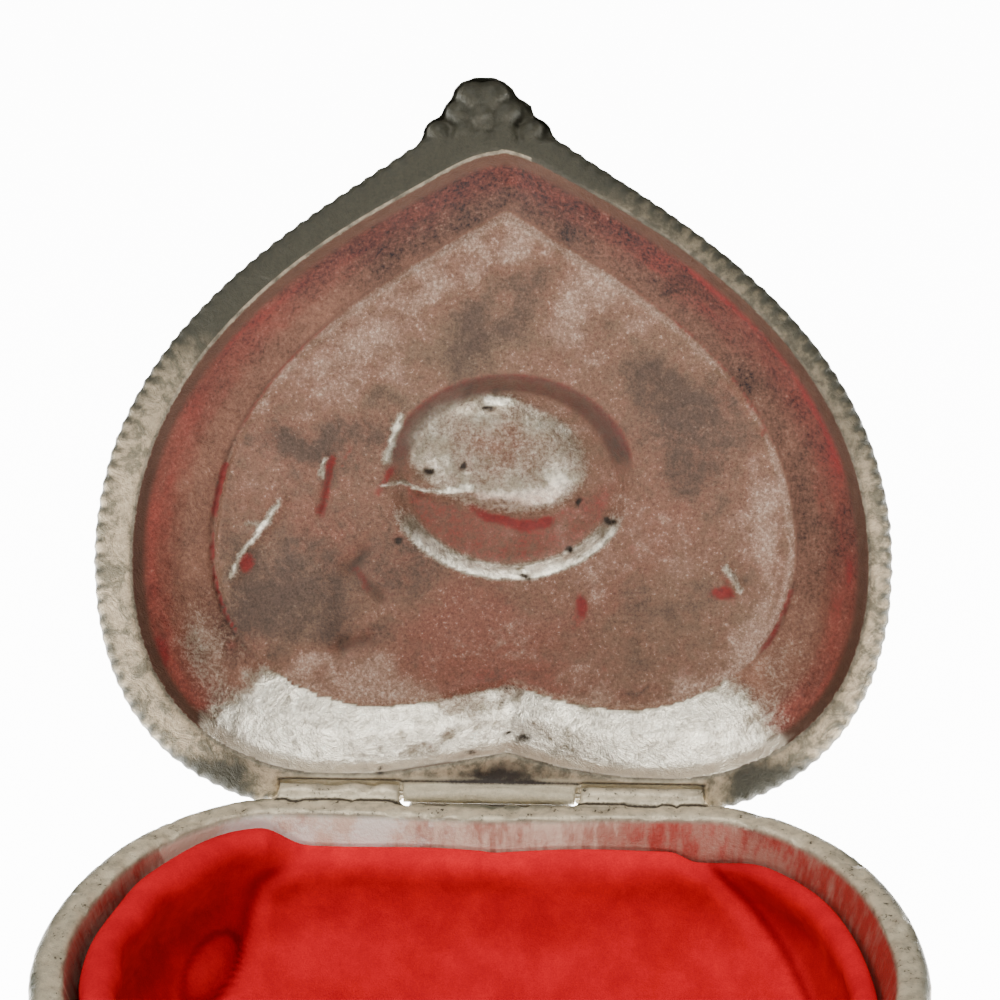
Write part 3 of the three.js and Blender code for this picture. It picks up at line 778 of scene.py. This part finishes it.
    # Dark stretches of the rim, painted as dark reflections and shade on the polished rim: the left
    # side, the tip, beside the hinge and its outer edge; grime in the cleft by the hinge.
    tarnish = left * (0.4 * ease(34, 45, v) + 0.5 * ease(46, 54, v))
    tarnish += (x >= 0) * (0.4 * ease(32, 44, v) + 0.2 * ease(60, 70, v))
    tarnish += ease(66, 72, v) * 0.35
    tarnish += fade(2.0, 6.0, v) * ease(25, 29, np.abs(x)) * 0.8
    tarnish += 0.22 * fade(0.0, 1.6, to_rim) * (np.abs(x) > 24)
    # Grime in the cleft of the rim by the hinge.
    tarnish += (np.abs(x) < 9) * fade(0.5, 3.5, np.abs(v - 2.4)) * 0.25
    tarnish += 0.25 * hump(v, 12, 7) * ease(0, 30, -x) + 0.18 * right
    mark(lid, tarnish=np.clip(tarnish, 0, 1))
    # A thin painted highlight along the mouth's edge on the left, where the rim's dark paint is lifted.
    mark(lid, line=1 - 0.85 * (x > 4))


RECESS_TINT = (0.035, 0.033, 0.022)


def silver_lid():
    """Old plated silver: rubbed, stained and grimy places, with painted highlights, shade and dark
    reflections, which the marks on the casting give.
    """
    finish = Finish("old_silver_lid")
    mix, blend, step, shade, mask = finish.mix, finish.blend, finish.step, finish.shade, finish.mask
    dish = step(mask("dish"), 0.3, 0.7)
    blotch = finish.noise(5.0, 3, 0.6, 0.4)
    mottle = finish.noise(1.3, 4, 0.65)
    speck = finish.noise(0.38, 3, 0.75)
    fine = finish.noise(0.17, 2, 0.7)
    brush = mask("brush")
    to_mouth = mask("to_mouth") * FAR
    to_panel = mask("to_panel") * FAR
    patchy = finish.noise(2.4, 5, 0.7, 0.6)
    mottling = mottle - 0.5
    specks = speck - 0.5
    patches = patchy - 0.5
    # The light mask holds tone blotches, a painted highlight along the panel's edge and painted shade
    # at the border's top.
    light = mask("light") + (blotch - 0.5) * 0.5 + mottling * 1.1 + patches * 1.6
    warm = mask("warm") + mottling + patches * 0.8
    salt = 1 + specks * 2.1 + (fine - 0.5)

    # The panel: grey brown and mauve, mottled, with red-brown and greenish places.
    panel = blend(warm, -0.7, 0.8, (0.175, 0.112, 0.070), (0.215, 0.083, 0.055))
    panel = blend(light, 0.0, 0.9, panel, (0.34, 0.215, 0.155))
    panel = blend(light, 0.0, -0.95, panel, (0.088, 0.054, 0.038))
    panel = shade(panel, salt)
    panel = mix(step(speck + light * 0.12, 0.6, 0.78) * 0.75, panel, (0.56, 0.45, 0.37))

    # The border: pink and red near the wall, brown in the middle.
    outer = mix(brush, (0.165, 0.05, 0.032), (0.235, 0.05, 0.034))
    border = blend(to_mouth + mottling * 2.6, 1.8, 5.4, outer, (0.185, 0.085, 0.053))
    border = shade(border, 1 + specks * 2.2 + light * 0.6)
    skin = blend(to_panel + specks * 0.3, -0.15, 0.15, border, panel)

    # Red residue, and worn places with painted highlights.
    paint = mask("paint") + specks * 0.9 + mottling * 0.6
    skin = blend(paint, 0.15, 0.85, skin, shade(
        mix(mottle, (0.12, 0.018, 0.016), (0.26, 0.026, 0.02)), 1 + specks * 1.6))
    shine = mask("shine")
    dull = blend(mottle, 0.3, 0.7, (0.30, 0.26, 0.19), (0.50, 0.45, 0.36))
    bare_and_highlight = blend(shine + mottling * 0.9, 0.68, 1.12, dull, (1.0, 0.94, 0.79))
    bare_and_highlight = shade(bare_and_highlight, 0.97 + specks * 1.1)
    # Where the bright colour goes: worn metal and painted highlights.
    wear_and_highlight = step(shine + specks * 1.2 + patches * 0.9, 0.12, 0.95)
    skin = mix(wear_and_highlight, skin, bare_and_highlight)

    # The wall under the rim, with a painted highlight on its low part where it faces up, and the rim
    # itself.
    wall = blend(shine, 0.35, 0.75, (0.095, 0.046, 0.028), (0.85, 0.79, 0.64))
    skin = mix(mask("wall"), skin, shade(wall, 1 + mottling * 0.8))
    rim = blend(patchy + mottling * 0.6, 0.4, 0.64, (0.44, 0.35, 0.23), (0.17, 0.145, 0.095))
    rim = shade(rim, 1 + specks * 1.4)
    reflection_and_grime_colour = mix(speck, (0.014, 0.016, 0.009), (0.07, 0.062, 0.04))
    # Painted dark reflections and shade on the rim, lifted for a thin painted highlight at the mouth's
    # edge.
    tarnish = mask("tarnish") * (1.1 - 0.9 * mask("line") * step(to_mouth, -0.14, -0.02))
    tarnish = step(tarnish + mottling * 0.5 + specks * 0.2, 0.05, 0.95)
    rim = mix(tarnish, rim, reflection_and_grime_colour)
    outside = blend(mottle, 0.35, 0.7, (0.30, 0.26, 0.185), (0.11, 0.10, 0.07))
    outside = shade(outside, 1 + specks * 1.2)
    outside = blend(mask("recess") + mottling * 0.4, 0.25, 0.9, outside,
                         RECESS_TINT)
    near_rim = 1 - step(mask("height") * FAR, 2.0, 3.6)
    outside = mix(tarnish * near_rim, outside, reflection_and_grime_colour)
    edge = step(mask("rim"), 0.0, 0.6)
    metal = mix(edge, outside, rim)
    # Painted shade in the grooves between the rope's strands.
    metal = mix(mask("strand") * 0.85, metal, (0.035, 0.034, 0.022))
    metal = mix(mask("knuckle"), metal, shade(
        mix(mottle, (0.75, 0.66, 0.48), (0.45, 0.39, 0.27)), 1 + specks * 0.8))
    skin = mix(dish, metal, skin)
    pits = step(fine + mottling * 0.6, 0.72, 0.8) * 0.8
    skin = mix(pits, skin, (0.05, 0.042, 0.03))
    # Dark grime, with painted shade on the oval's upper arc, in the panel's crease and along the hinge.
    grime = step(mask("grime") + specks * 0.6, 0.2, 0.95)
    skin = mix(grime, skin, (0.03, 0.022, 0.016))
    finish.set("Base Color", skin)
    bright_share = wear_and_highlight * dish
    finish.set("Metallic", 0.3 + 0.6 * bright_share)
    finish.set("Roughness", 0.58 - 0.2 * bright_share + specks * 0.3)
    grainy = finish.bump(fine, 0.05, 0.5)
    grainy = finish.bump(patchy, 0.35, 0.8, grainy)
    finish.set("Normal", finish.bump(speck, 0.09, 0.8, grainy))
    return finish


def base_places(points):
    """The base's flat coordinates: x, and the way from the hinge to the tip."""
    return np.stack([points[:, 0], HINGE_Y - points[:, 1]], axis=1)


# Stains on the base's inner wall: x, the way from the hinge, two half sizes and how much.
STAINS = [(30.5, 4.0, 3.2, 3.0, 1.0), (36.0, 9.0, 2.2, 3.0, 0.8), (22, 3, 3, 2, 0.4)]


def make_base():
    """The base's casting, with its pitted rim and the flutes outside."""
    fillers = [solid_knuckle(*ends) for ends in BASE_KNUCKLES]
    for forward, depth, bottom, top in LEDGES:
        bpy.ops.mesh.primitive_cube_add(
            size=1, location=(LID_KNUCKLE_X * MM, HINGE.y - forward * MM, (bottom + top) / 2 * MM))
        ledge = bpy.context.active_object
        ledge.scale = (LEDGE_WIDTH * MM, depth * MM, (top - bottom) * MM)
        fillers.append(ledge)
    base = cast("base", "base_casting", BASE_VOXEL, fillers)
    points = points_of(base)
    for ends in BASE_KNUCKLES:
        round_knuckle(points, *ends)
    put_points(base, points)
    normals = at_vertices(base, "normal")
    flat = base_places(points)
    z = points[:, 2]
    to_edge, along, length = within(flat, BASE_OUTLINE)
    wall = within(flat, inset(BASE_OUTLINE, BASE_WALL_INSET))[0]
    hollow = (wall > -1.3) & (z > 2.5) & (z < BASE_TOP - 0.4)
    rim = ease(0.3, 0.8, normals[:, 2]) * (z > BASE_TOP - 1.2) * (wall < 1)
    pitting = ease(0.62, 0.8, grain(points, 1.3, 21)) * 0.3
    points[:, 2] -= rim * (pitting + 0.1 * grain(points, 2.6, 23))
    # Outside, upright flutes between the foot and the rim, cut into the wall.
    outer_wall = (to_edge < 3.2) & (wall < 0) & (np.abs(normals[:, 2]) < 0.6)
    flutes = outer_wall * ease(4.6, 6.4, points[:, 2]) * fade(22.5, 24.5, points[:, 2])
    ridge = np.abs(np.sin(math.pi * along / length * BASE_FLUTES))
    cut = flutes * FLUTE_DEPTH * (1 - ridge) ** 1.5
    points[:, :2] -= normals[:, :2] * cut[:, None]
    put_points(base, points)
    near_axis = np.hypot(points[:, 1] - HINGE_Y, points[:, 2] - HINGE_Z)
    at_hinge = np.abs(points[:, 0]) < HINGE_HALF + 0.5
    knuckle = fade(1.3, 2.2, near_axis) * at_hinge
    mark(base, recess=flutes * fade(0.1, 0.55, ridge) + outer_wall * hump(z, 3.9, 0.7))
    # Painted shade in the crease round the knuckles.
    mark(base, crease=hump(near_axis, 1.55, 0.35) * at_hinge)
    mark(base, rim=np.maximum(rim, knuckle))
    mark(base, hollow=hollow * fade(BASE_TOP - 1.0, BASE_TOP - 0.4, z))
    mark(base, to_edge=np.maximum(to_edge, knuckle * 3) / FAR)
    x = flat[:, 0]
    d = flat[:, 1]
    bays = grain(points, 3.4, 71)
    residue = 0.12 + 0.62 * ease(8, 22, x) + 0.5 * ease(34, 37, np.abs(x)) + (bays - 0.5) * 0.7
    residue -= 0.35 * ease(-8, -16, x) * (d < 12)
    mark(base, residue=hollow * residue)
    shine = between(x, -36, -26, -10, 4) * ease(22, 26, z) * (0.35 + 0.9 * grain(points, 2.6, 73))
    mark(base, shine=hollow * shine)
    stain = spots(flat, STAINS)
    mark(base, stain=hollow * (stain + (bays - 0.6) * 0.6))
    return base


def silver_base():
    """The same old silver, with cream on its rim and pink and red residue on the inner wall."""
    finish = Finish("old_silver_base")
    mix, blend, shade, mask = finish.mix, finish.blend, finish.shade, finish.mask
    blotch = finish.noise(5.0, 3, 0.6, 0.4)
    mottle = finish.noise(1.5, 3, 0.65)
    speck = finish.noise(0.4, 2, 0.7)
    streaks = finish.noise(1.2, 3, 0.6, place=finish.stretched(1, 1, 0.22))
    mottling = mottle - 0.5
    specks = speck - 0.5
    streaking = streaks - 0.5
    to_edge = mask("to_edge") * FAR
    cream = blend(mottle, 0.3, 0.75, (0.78, 0.68, 0.49), (0.45, 0.39, 0.28))
    cream = blend(to_edge + (blotch - 0.5) * 1.8, 1.5, 0.1, cream, (0.13, 0.135, 0.10))
    cream = blend(speck + mottle * 0.6, 0.92, 1.05, cream, (0.06, 0.05, 0.035))
    outer = blend(mottle, 0.3, 0.75, (0.34, 0.295, 0.21), (0.14, 0.125, 0.09))
    outer = shade(outer, 0.6 + speck * 0.8)
    outer = blend(mask("recess") + mottling * 0.4, 0.25, 0.9, outer,
                       RECESS_TINT)
    residue = mask("residue") + streaking * 1.4 + mottling * 0.5
    inner = blend(residue, -0.1, 0.5, (0.82, 0.66, 0.52), (0.50, 0.25, 0.19))
    inner = blend(residue, 0.45, 1.1, inner, (0.44, 0.06, 0.045))
    inner = blend(mask("stain") + streaking * 1.2, 0.3, 0.9, inner, (0.17, 0.075, 0.06))
    inner = blend(mask("shine") + mottling * 1.3, 0.45, 0.9, inner, (0.97, 0.95, 0.86))
    skin = mix(mask("rim"), outer, cream)
    skin = mix(mask("hollow"), skin, inner)
    # Painted shade in the crease round the knuckles.
    skin = blend(mask("crease") + specks * 0.5, 0.3, 0.9, skin, (0.05, 0.04, 0.025))
    finish.set("Base Color", skin)
    finish.set("Metallic", 0.35)
    finish.set("Roughness", 0.52 + specks * 0.2)
    finish.set("Normal", finish.bump(speck, 0.14, 0.6))
    return finish


# Where it hangs and how thick it is in mm, and how many rows and columns of points it has.
CLOTH_TOP = 26.25
CLOTH_FOOT = 2.55
CLOTH_SAG = 20
CLOTH_CURVE = 2.5
CLOTH_THICK = 1.1
CLOTH_GAP = 0.35
FLOOR_MIDDLE = (0.0, 35.4)
ROLL_ROWS = 9
WALL_ROWS = 58
FLOOR_ROWS = 9
CLOTH_COLUMNS = 480
SHEET_THICK = 0.3

# Fold lines on the cloth at the back of the box, as x and height in mm.
LEFT_FOLD = [(-19.4, 27.5), (-20.2, 26.0), (-21.6, 25.0), (-24.4, 22.8), (-25.4, 20.1), (-25.9, 17.9),
             (-26.5, 15.3), (-27.3, 14.3), (-28.6, 12.4), (-30.0, 8.0)]
RIGHT_FOLD = [(21.2, 28.0), (22.2, 26.4), (23.4, 25.4), (25.6, 23.2), (28.1, 21.2), (31.0, 18.6),
              (33.1, 16.4), (34.4, 13.0)]
CURL = (-29.6, 16.0, 2.5)


def side_of(points, line):
    """How far each point is to the right of a fold line that runs downwards, in mm."""
    line = np.array(line)
    order = np.argsort(line[:, 1])
    at = np.interp(points[:, 1], line[order, 1], line[order, 0])
    dist = from_line(points, line)[0]
    return np.where(points[:, 0] > at, dist, -dist)


def cloth_ring(share):
    """The ring of the cloth's face at a share of the way down, as the solids have it."""
    depth = BASE_WALL_INSET + CLOTH_GAP + CLOTH_SAG * share ** CLOTH_CURVE
    depth += CLOTH_THICK * (1 - share ** 2)
    ring = resample(heart(inset(BASE_OUTLINE, depth), 60), CLOTH_COLUMNS)
    way = np.roll(ring, -1, axis=0) - np.roll(ring, 1, axis=0)
    way /= np.hypot(way[:, 0], way[:, 1])[:, None]
    inward = np.stack([-way[:, 1], way[:, 0]], axis=1)
    return ring, inward


def cloth_push(x, d, z, seed_at):
    """How far the folds stand in from the plain bowl, in mm."""
    flat = np.stack([x, z], axis=1)
    back = fade(24, 36, d)
    right_of_left = side_of(flat, LEFT_FOLD)
    right_of_right = side_of(flat, RIGHT_FOLD)
    middle = ease(-1.3, 1.1, right_of_left) * fade(-1.0, 1.2, right_of_right)
    start = fade(23.5, 26.5, z)
    push = back * middle * (0.5 + 0.9 * start)
    # Each fold is a rounded edge that stands proud, over a valley that comes back slowly.
    push += back * middle * start * 0.35 * hump(right_of_left, 0, 2.2)
    push += back * middle * start * 0.3 * hump(right_of_right, 0, 2.0)
    beside = fade(-1.1, 1.1, right_of_left) * ease(-9.0, -1.5, right_of_left)
    push -= back * start * beside * 0.5 * ease(20, 14, z)
    beside = between(right_of_right, -1.0, 1.0, 0.8, 6.0)
    push -= back * start * beside * 0.4
    # The curl of cloth at the left, with its outline pressed in.
    cx, cz, size = CURL
    gap = np.hypot(x - cx, z - cz)
    push += back * 0.8 * fade(0.3, 1.1, gap / size)
    push -= back * 0.3 * hump(gap, size, 0.8)
    # A soft sag across the middle piece, and slow waves everywhere.
    push += back * middle * 0.6 * hump(z, 13.5, 3.0) * hump(x, -16, 6.0)
    push += back * middle * 0.4 * hump(z, 17.0, 2.5) * hump(x, 15, 5.0)
    waves = waver(seed_at, 7.0, 31, 1.3) + waver(seed_at, 2.8, 33, 0.3)
    return push + waves * ease(0, 4, CLOTH_TOP - z)


def make_cloth():
    """The red lining: one cloth from a full edge at the wall, down its folds and over the floor."""
    ring, inward = cloth_ring(0)
    x, d = ring[:, 0], ring[:, 1]
    at = np.cumsum(np.hypot(*(ring - np.roll(ring, 1, axis=0)).T))
    left = ease(-20, -25, x)
    left_flank = left * fade(44, 60, d)
    right = ease(24, 33, x) * fade(44, 60, d)
    fat = 0.75 + 1.15 * left_flank + 0.55 * right
    fat += 0.35 * left_flank * hump(d, 15, 2.6)
    fat += 0.18 * left_flank * np.sin(at * 0.55)
    top = CLOTH_TOP + 0.25 * np.sin(at * 0.21) + 3.1 * left_flank
    top += 0.5 * (1 - left_flank) * fade(14, 30, d)
    top -= 1.3 * between(x, 20, 23, 24, 30) * (d < 20)
    top -= 0.3 * hump(x, 2, 9.0) * fade(14, 26, d)
    rings = []
    for k in range(ROLL_ROWS):
        a = math.pi * k / ROLL_ROWS
        reach = fat * (1 - math.cos(a)) - CLOTH_THICK
        height = top - fat + fat * math.sin(a)
        rings.append(np.column_stack([ring + inward * reach[:, None], height]))
    for k in range(WALL_ROWS):
        share = k / (WALL_ROWS - 1)
        ring, inward = cloth_ring(share)
        start = top - fat
        height = start + (CLOTH_FOOT + CLOTH_THICK - start) * share
        seed_at = np.column_stack([ring, height])
        push = cloth_push(ring[:, 0], ring[:, 1], height, seed_at) * fade(0.8, 1.0, share)
        push += (2 * fat - CLOTH_THICK) * fade(0.0, 0.2 + 0.1 * left_flank, share)
        lift = push * 0.45 * ease(0.15, 0.6, share)
        rings.append(np.column_stack([ring + inward * push[:, None], height + lift]))
    for k in range(1, FLOOR_ROWS):
        share = k / FLOOR_ROWS
        flat = ring + (np.array(FLOOR_MIDDLE) - ring) * share
        seed_at = np.column_stack([flat, flat[:, 0] * 0])
        height = CLOTH_FOOT + CLOTH_THICK + waver(seed_at, 8.0, 35, 0.7)
        height = np.maximum(height, CLOTH_FOOT + CLOTH_THICK * 0.85)
        rings.append(np.column_stack([flat, height]))
    points = np.concatenate(rings + [np.array([[*FLOOR_MIDDLE, CLOTH_FOOT + CLOTH_THICK]])])
    points[:, 1] = HINGE_Y - points[:, 1]
    faces = []
    for row in range(len(rings) - 1):
        for k in range(CLOTH_COLUMNS):
            a = row * CLOTH_COLUMNS + k
            b = row * CLOTH_COLUMNS + (k + 1) % CLOTH_COLUMNS
            faces.append((a, b, b + CLOTH_COLUMNS, a + CLOTH_COLUMNS))
    last = (len(rings) - 1) * CLOTH_COLUMNS
    faces += [(last + k, last + (k + 1) % CLOTH_COLUMNS, len(points) - 1)
              for k in range(CLOTH_COLUMNS)]
    mesh = bpy.data.meshes.new("lining_cloth")
    mesh.from_pydata((points * MM).tolist(), [], faces)
    cloth = bpy.data.objects.new("lining_cloth", mesh)
    bpy.context.collection.objects.link(cloth)
    only(cloth)
    bpy.ops.object.mode_set(mode="EDIT")
    bpy.ops.mesh.select_all(action="SELECT")
    bpy.ops.mesh.remove_doubles(threshold=0.02 * MM)
    bpy.ops.mesh.normals_make_consistent(inside=False)
    bpy.ops.object.mode_set(mode="OBJECT")
    middle = min(mesh.polygons, key=lambda p: (p.center - Vector((0, 0, CLOTH_FOOT * MM))).length)
    if middle.normal.z < 0:
        mesh.flip_normals()
    only(cloth)
    bpy.ops.object.shade_smooth()
    apply_modifier(cloth, "SMOOTH", factor=0.5, iterations=10)

    # Painted light and shade on the cloth: darker in the folds, round the curl and in a band across the
    # middle, lighter along the top edge and lower down, where it faces the light.
    points = points_of(cloth)
    x, d, z = points[:, 0], HINGE_Y - points[:, 1], points[:, 2]
    flat = np.stack([x, z], axis=1)
    back = fade(22, 32, d)
    right_of_left = side_of(flat, LEFT_FOLD)
    right_of_right = side_of(flat, RIGHT_FOLD)
    nap = 0.35 * ease(24.2, 26, z) * ease(26, 22, np.abs(x)) * fade(11, 14, d)
    nap -= 0.1 * back * hump(z, 20.0, 2.4) * between(x, -26, -23, 25, 28)
    nap += 0.15 * back * hump(z, 15.5, 3.0) * ease(-0.5, 2.5, right_of_left)
    nap -= 0.5 * back * hump(right_of_left, -0.9, 0.9) * fade(24.5, 26, z)
    nap -= 0.55 * back * hump(right_of_right, 0.8, 0.55) * fade(24.5, 26, z)
    nap -= 0.2 * back * between(right_of_left, -6.5, -3.0, -0.5, 0) * ease(13, 17, z)
    nap -= 0.25 * back * between(right_of_right, 0, 0.5, 3.5, 6.5)
    cx, cz, size = CURL
    nap -= 0.5 * back * hump(np.hypot(x - cx, z - cz), size, 0.4)
    mark(cloth, nap=nap)
    return cloth


DEEP_RED = (0.60, 0.008, 0.018)
BRIGHT_RED = (0.78, 0.011, 0.023)


def red_velvet():
    finish = Finish("red_cloth")
    weave = finish.noise(0.16, 2, 0.6)
    nap = finish.noise(3.0, 3, 0.6)
    thread = finish.noise(0.35, 2, 0.6, place=finish.stretched(1, 3.0, 0.3))
    colour = finish.blend(nap + (weave - 0.5) * 0.3, 0.25, 0.8, DEEP_RED, BRIGHT_RED)
    # The cloth's mask brings in its painted light and shade.
    colour = finish.shade(colour, (0.8 + weave * 0.2 + thread * 0.2) * (1 + finish.mask("nap") * 0.75))
    finish.set("Base Color", colour)
    finish.set("Roughness", 0.95)
    finish.set("Specular IOR Level", 0.05)
    finish.set("Sheen Weight", 0.12)
    finish.set("Sheen Tint", (1.0, 0.05, 0.04, 1))
    finish.set("Normal", finish.bump(weave, 0.08, 0.4))
    return finish


def steel_pin():
    finish = Finish("pin_steel")
    mottle = finish.noise(0.8, 2, 0.6)
    finish.set("Base Color", finish.mix(mottle, (0.45, 0.40, 0.30), (0.22, 0.19, 0.14)))
    finish.set("Metallic", 0.9)
    finish.set("Roughness", 0.4 + mottle * 0.2)
    return finish


# The stage.

def make_floor():
    """A pale table top, which glows behind and beside the box as a lit background does."""
    bpy.ops.mesh.primitive_plane_add(size=14, location=(0, 3, 0))
    bpy.ops.object.transform_apply(location=True)
    floor = bpy.context.active_object
    floor.name = "floor"
    finish = Finish("pale_floor")
    place = finish.node("ShaderNodeSeparateXYZ", {}, {0: finish.place}, "Y")
    glow = finish.step(place, -0.10, 0.0)
    finish.set("Base Color", (0.85, 0.85, 0.84, 1))
    finish.set("Roughness", 0.9)
    finish.set("Emission Color", finish.mix(glow, (0, 0, 0), (1, 1, 0.995)))
    finish.set("Emission Strength", BACKDROP_GLOW)
    coat(floor, finish)


# Name, place, aim, width, length, power in watts and colour.
SOFTBOXES = [
    ("overhead", (-0.10, -0.20, 0.68), (0, 0.02, 0.04), 0.3, 0.3, 4.2, (1, 0.985, 0.95)),
    ("front", (-0.25, -0.8, 0.35), (0, 0.02, 0.06), 0.5, 0.5, 0.5, (1, 1, 1)),
    ("low_card", (0.0, -0.95, 0.13), (0, 0.02, 0.045), 0.7, 0.22, 3.0, (1, 0.97, 0.89)),
]
ROOM_COLOUR = (1, 0.99, 0.97, 1)
ROOM_STRENGTH = 0.12
BACKDROP_GLOW = 13.0


def softbox(name, place, aim, width, length, power, colour):
    light = bpy.data.lights.new(name, "AREA")
    light.shape = "RECTANGLE"
    light.size = width
    light.size_y = length
    light.energy = power
    light.color = colour
    box = bpy.data.objects.new(name, light)
    bpy.context.collection.objects.link(box)
    box.location = place
    way = Vector(aim) - Vector(place)
    box.rotation_euler = way.to_track_quat("-Z", "Y").to_euler()


def light_stage():
    for setting in SOFTBOXES:
        softbox(*setting)
    world = bpy.data.worlds.new("room")
    bpy.context.scene.world = world
    world.use_nodes = True
    background = world.node_tree.nodes["Background"]
    background.inputs["Color"].default_value = ROOM_COLOUR
    background.inputs["Strength"].default_value = ROOM_STRENGTH


def make_camera():
    data = bpy.data.cameras.new("camera")
    data.lens = FOCAL_MM
    data.sensor_width = 36
    data.sensor_fit = "HORIZONTAL"
    data.clip_start = 0.01
    data.clip_end = 20
    camera = bpy.data.objects.new("camera", data)
    bpy.context.collection.objects.link(camera)
    camera.location = HINGE + CAMERA_FROM_HINGE
    camera.rotation_euler = (math.pi / 2 - CAMERA_DOWN, 0, CAMERA_TURN)
    bpy.context.scene.camera = camera


make_camera()
make_floor()
light_stage()

lid = make_lid()
coat(lid, silver_lid())
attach(lid, "lid")
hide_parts("lid")

base = make_base()
coat(base, silver_base())
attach(base, "base")
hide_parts("base")

cloth = make_cloth()
apply_modifier(cloth, "SOLIDIFY", thickness=SHEET_THICK * MM, offset=-1)
coat(cloth, red_velvet())
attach(cloth, "base")
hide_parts("lining")

coat(frame["nodes"]["hinge_pin"], steel_pin())
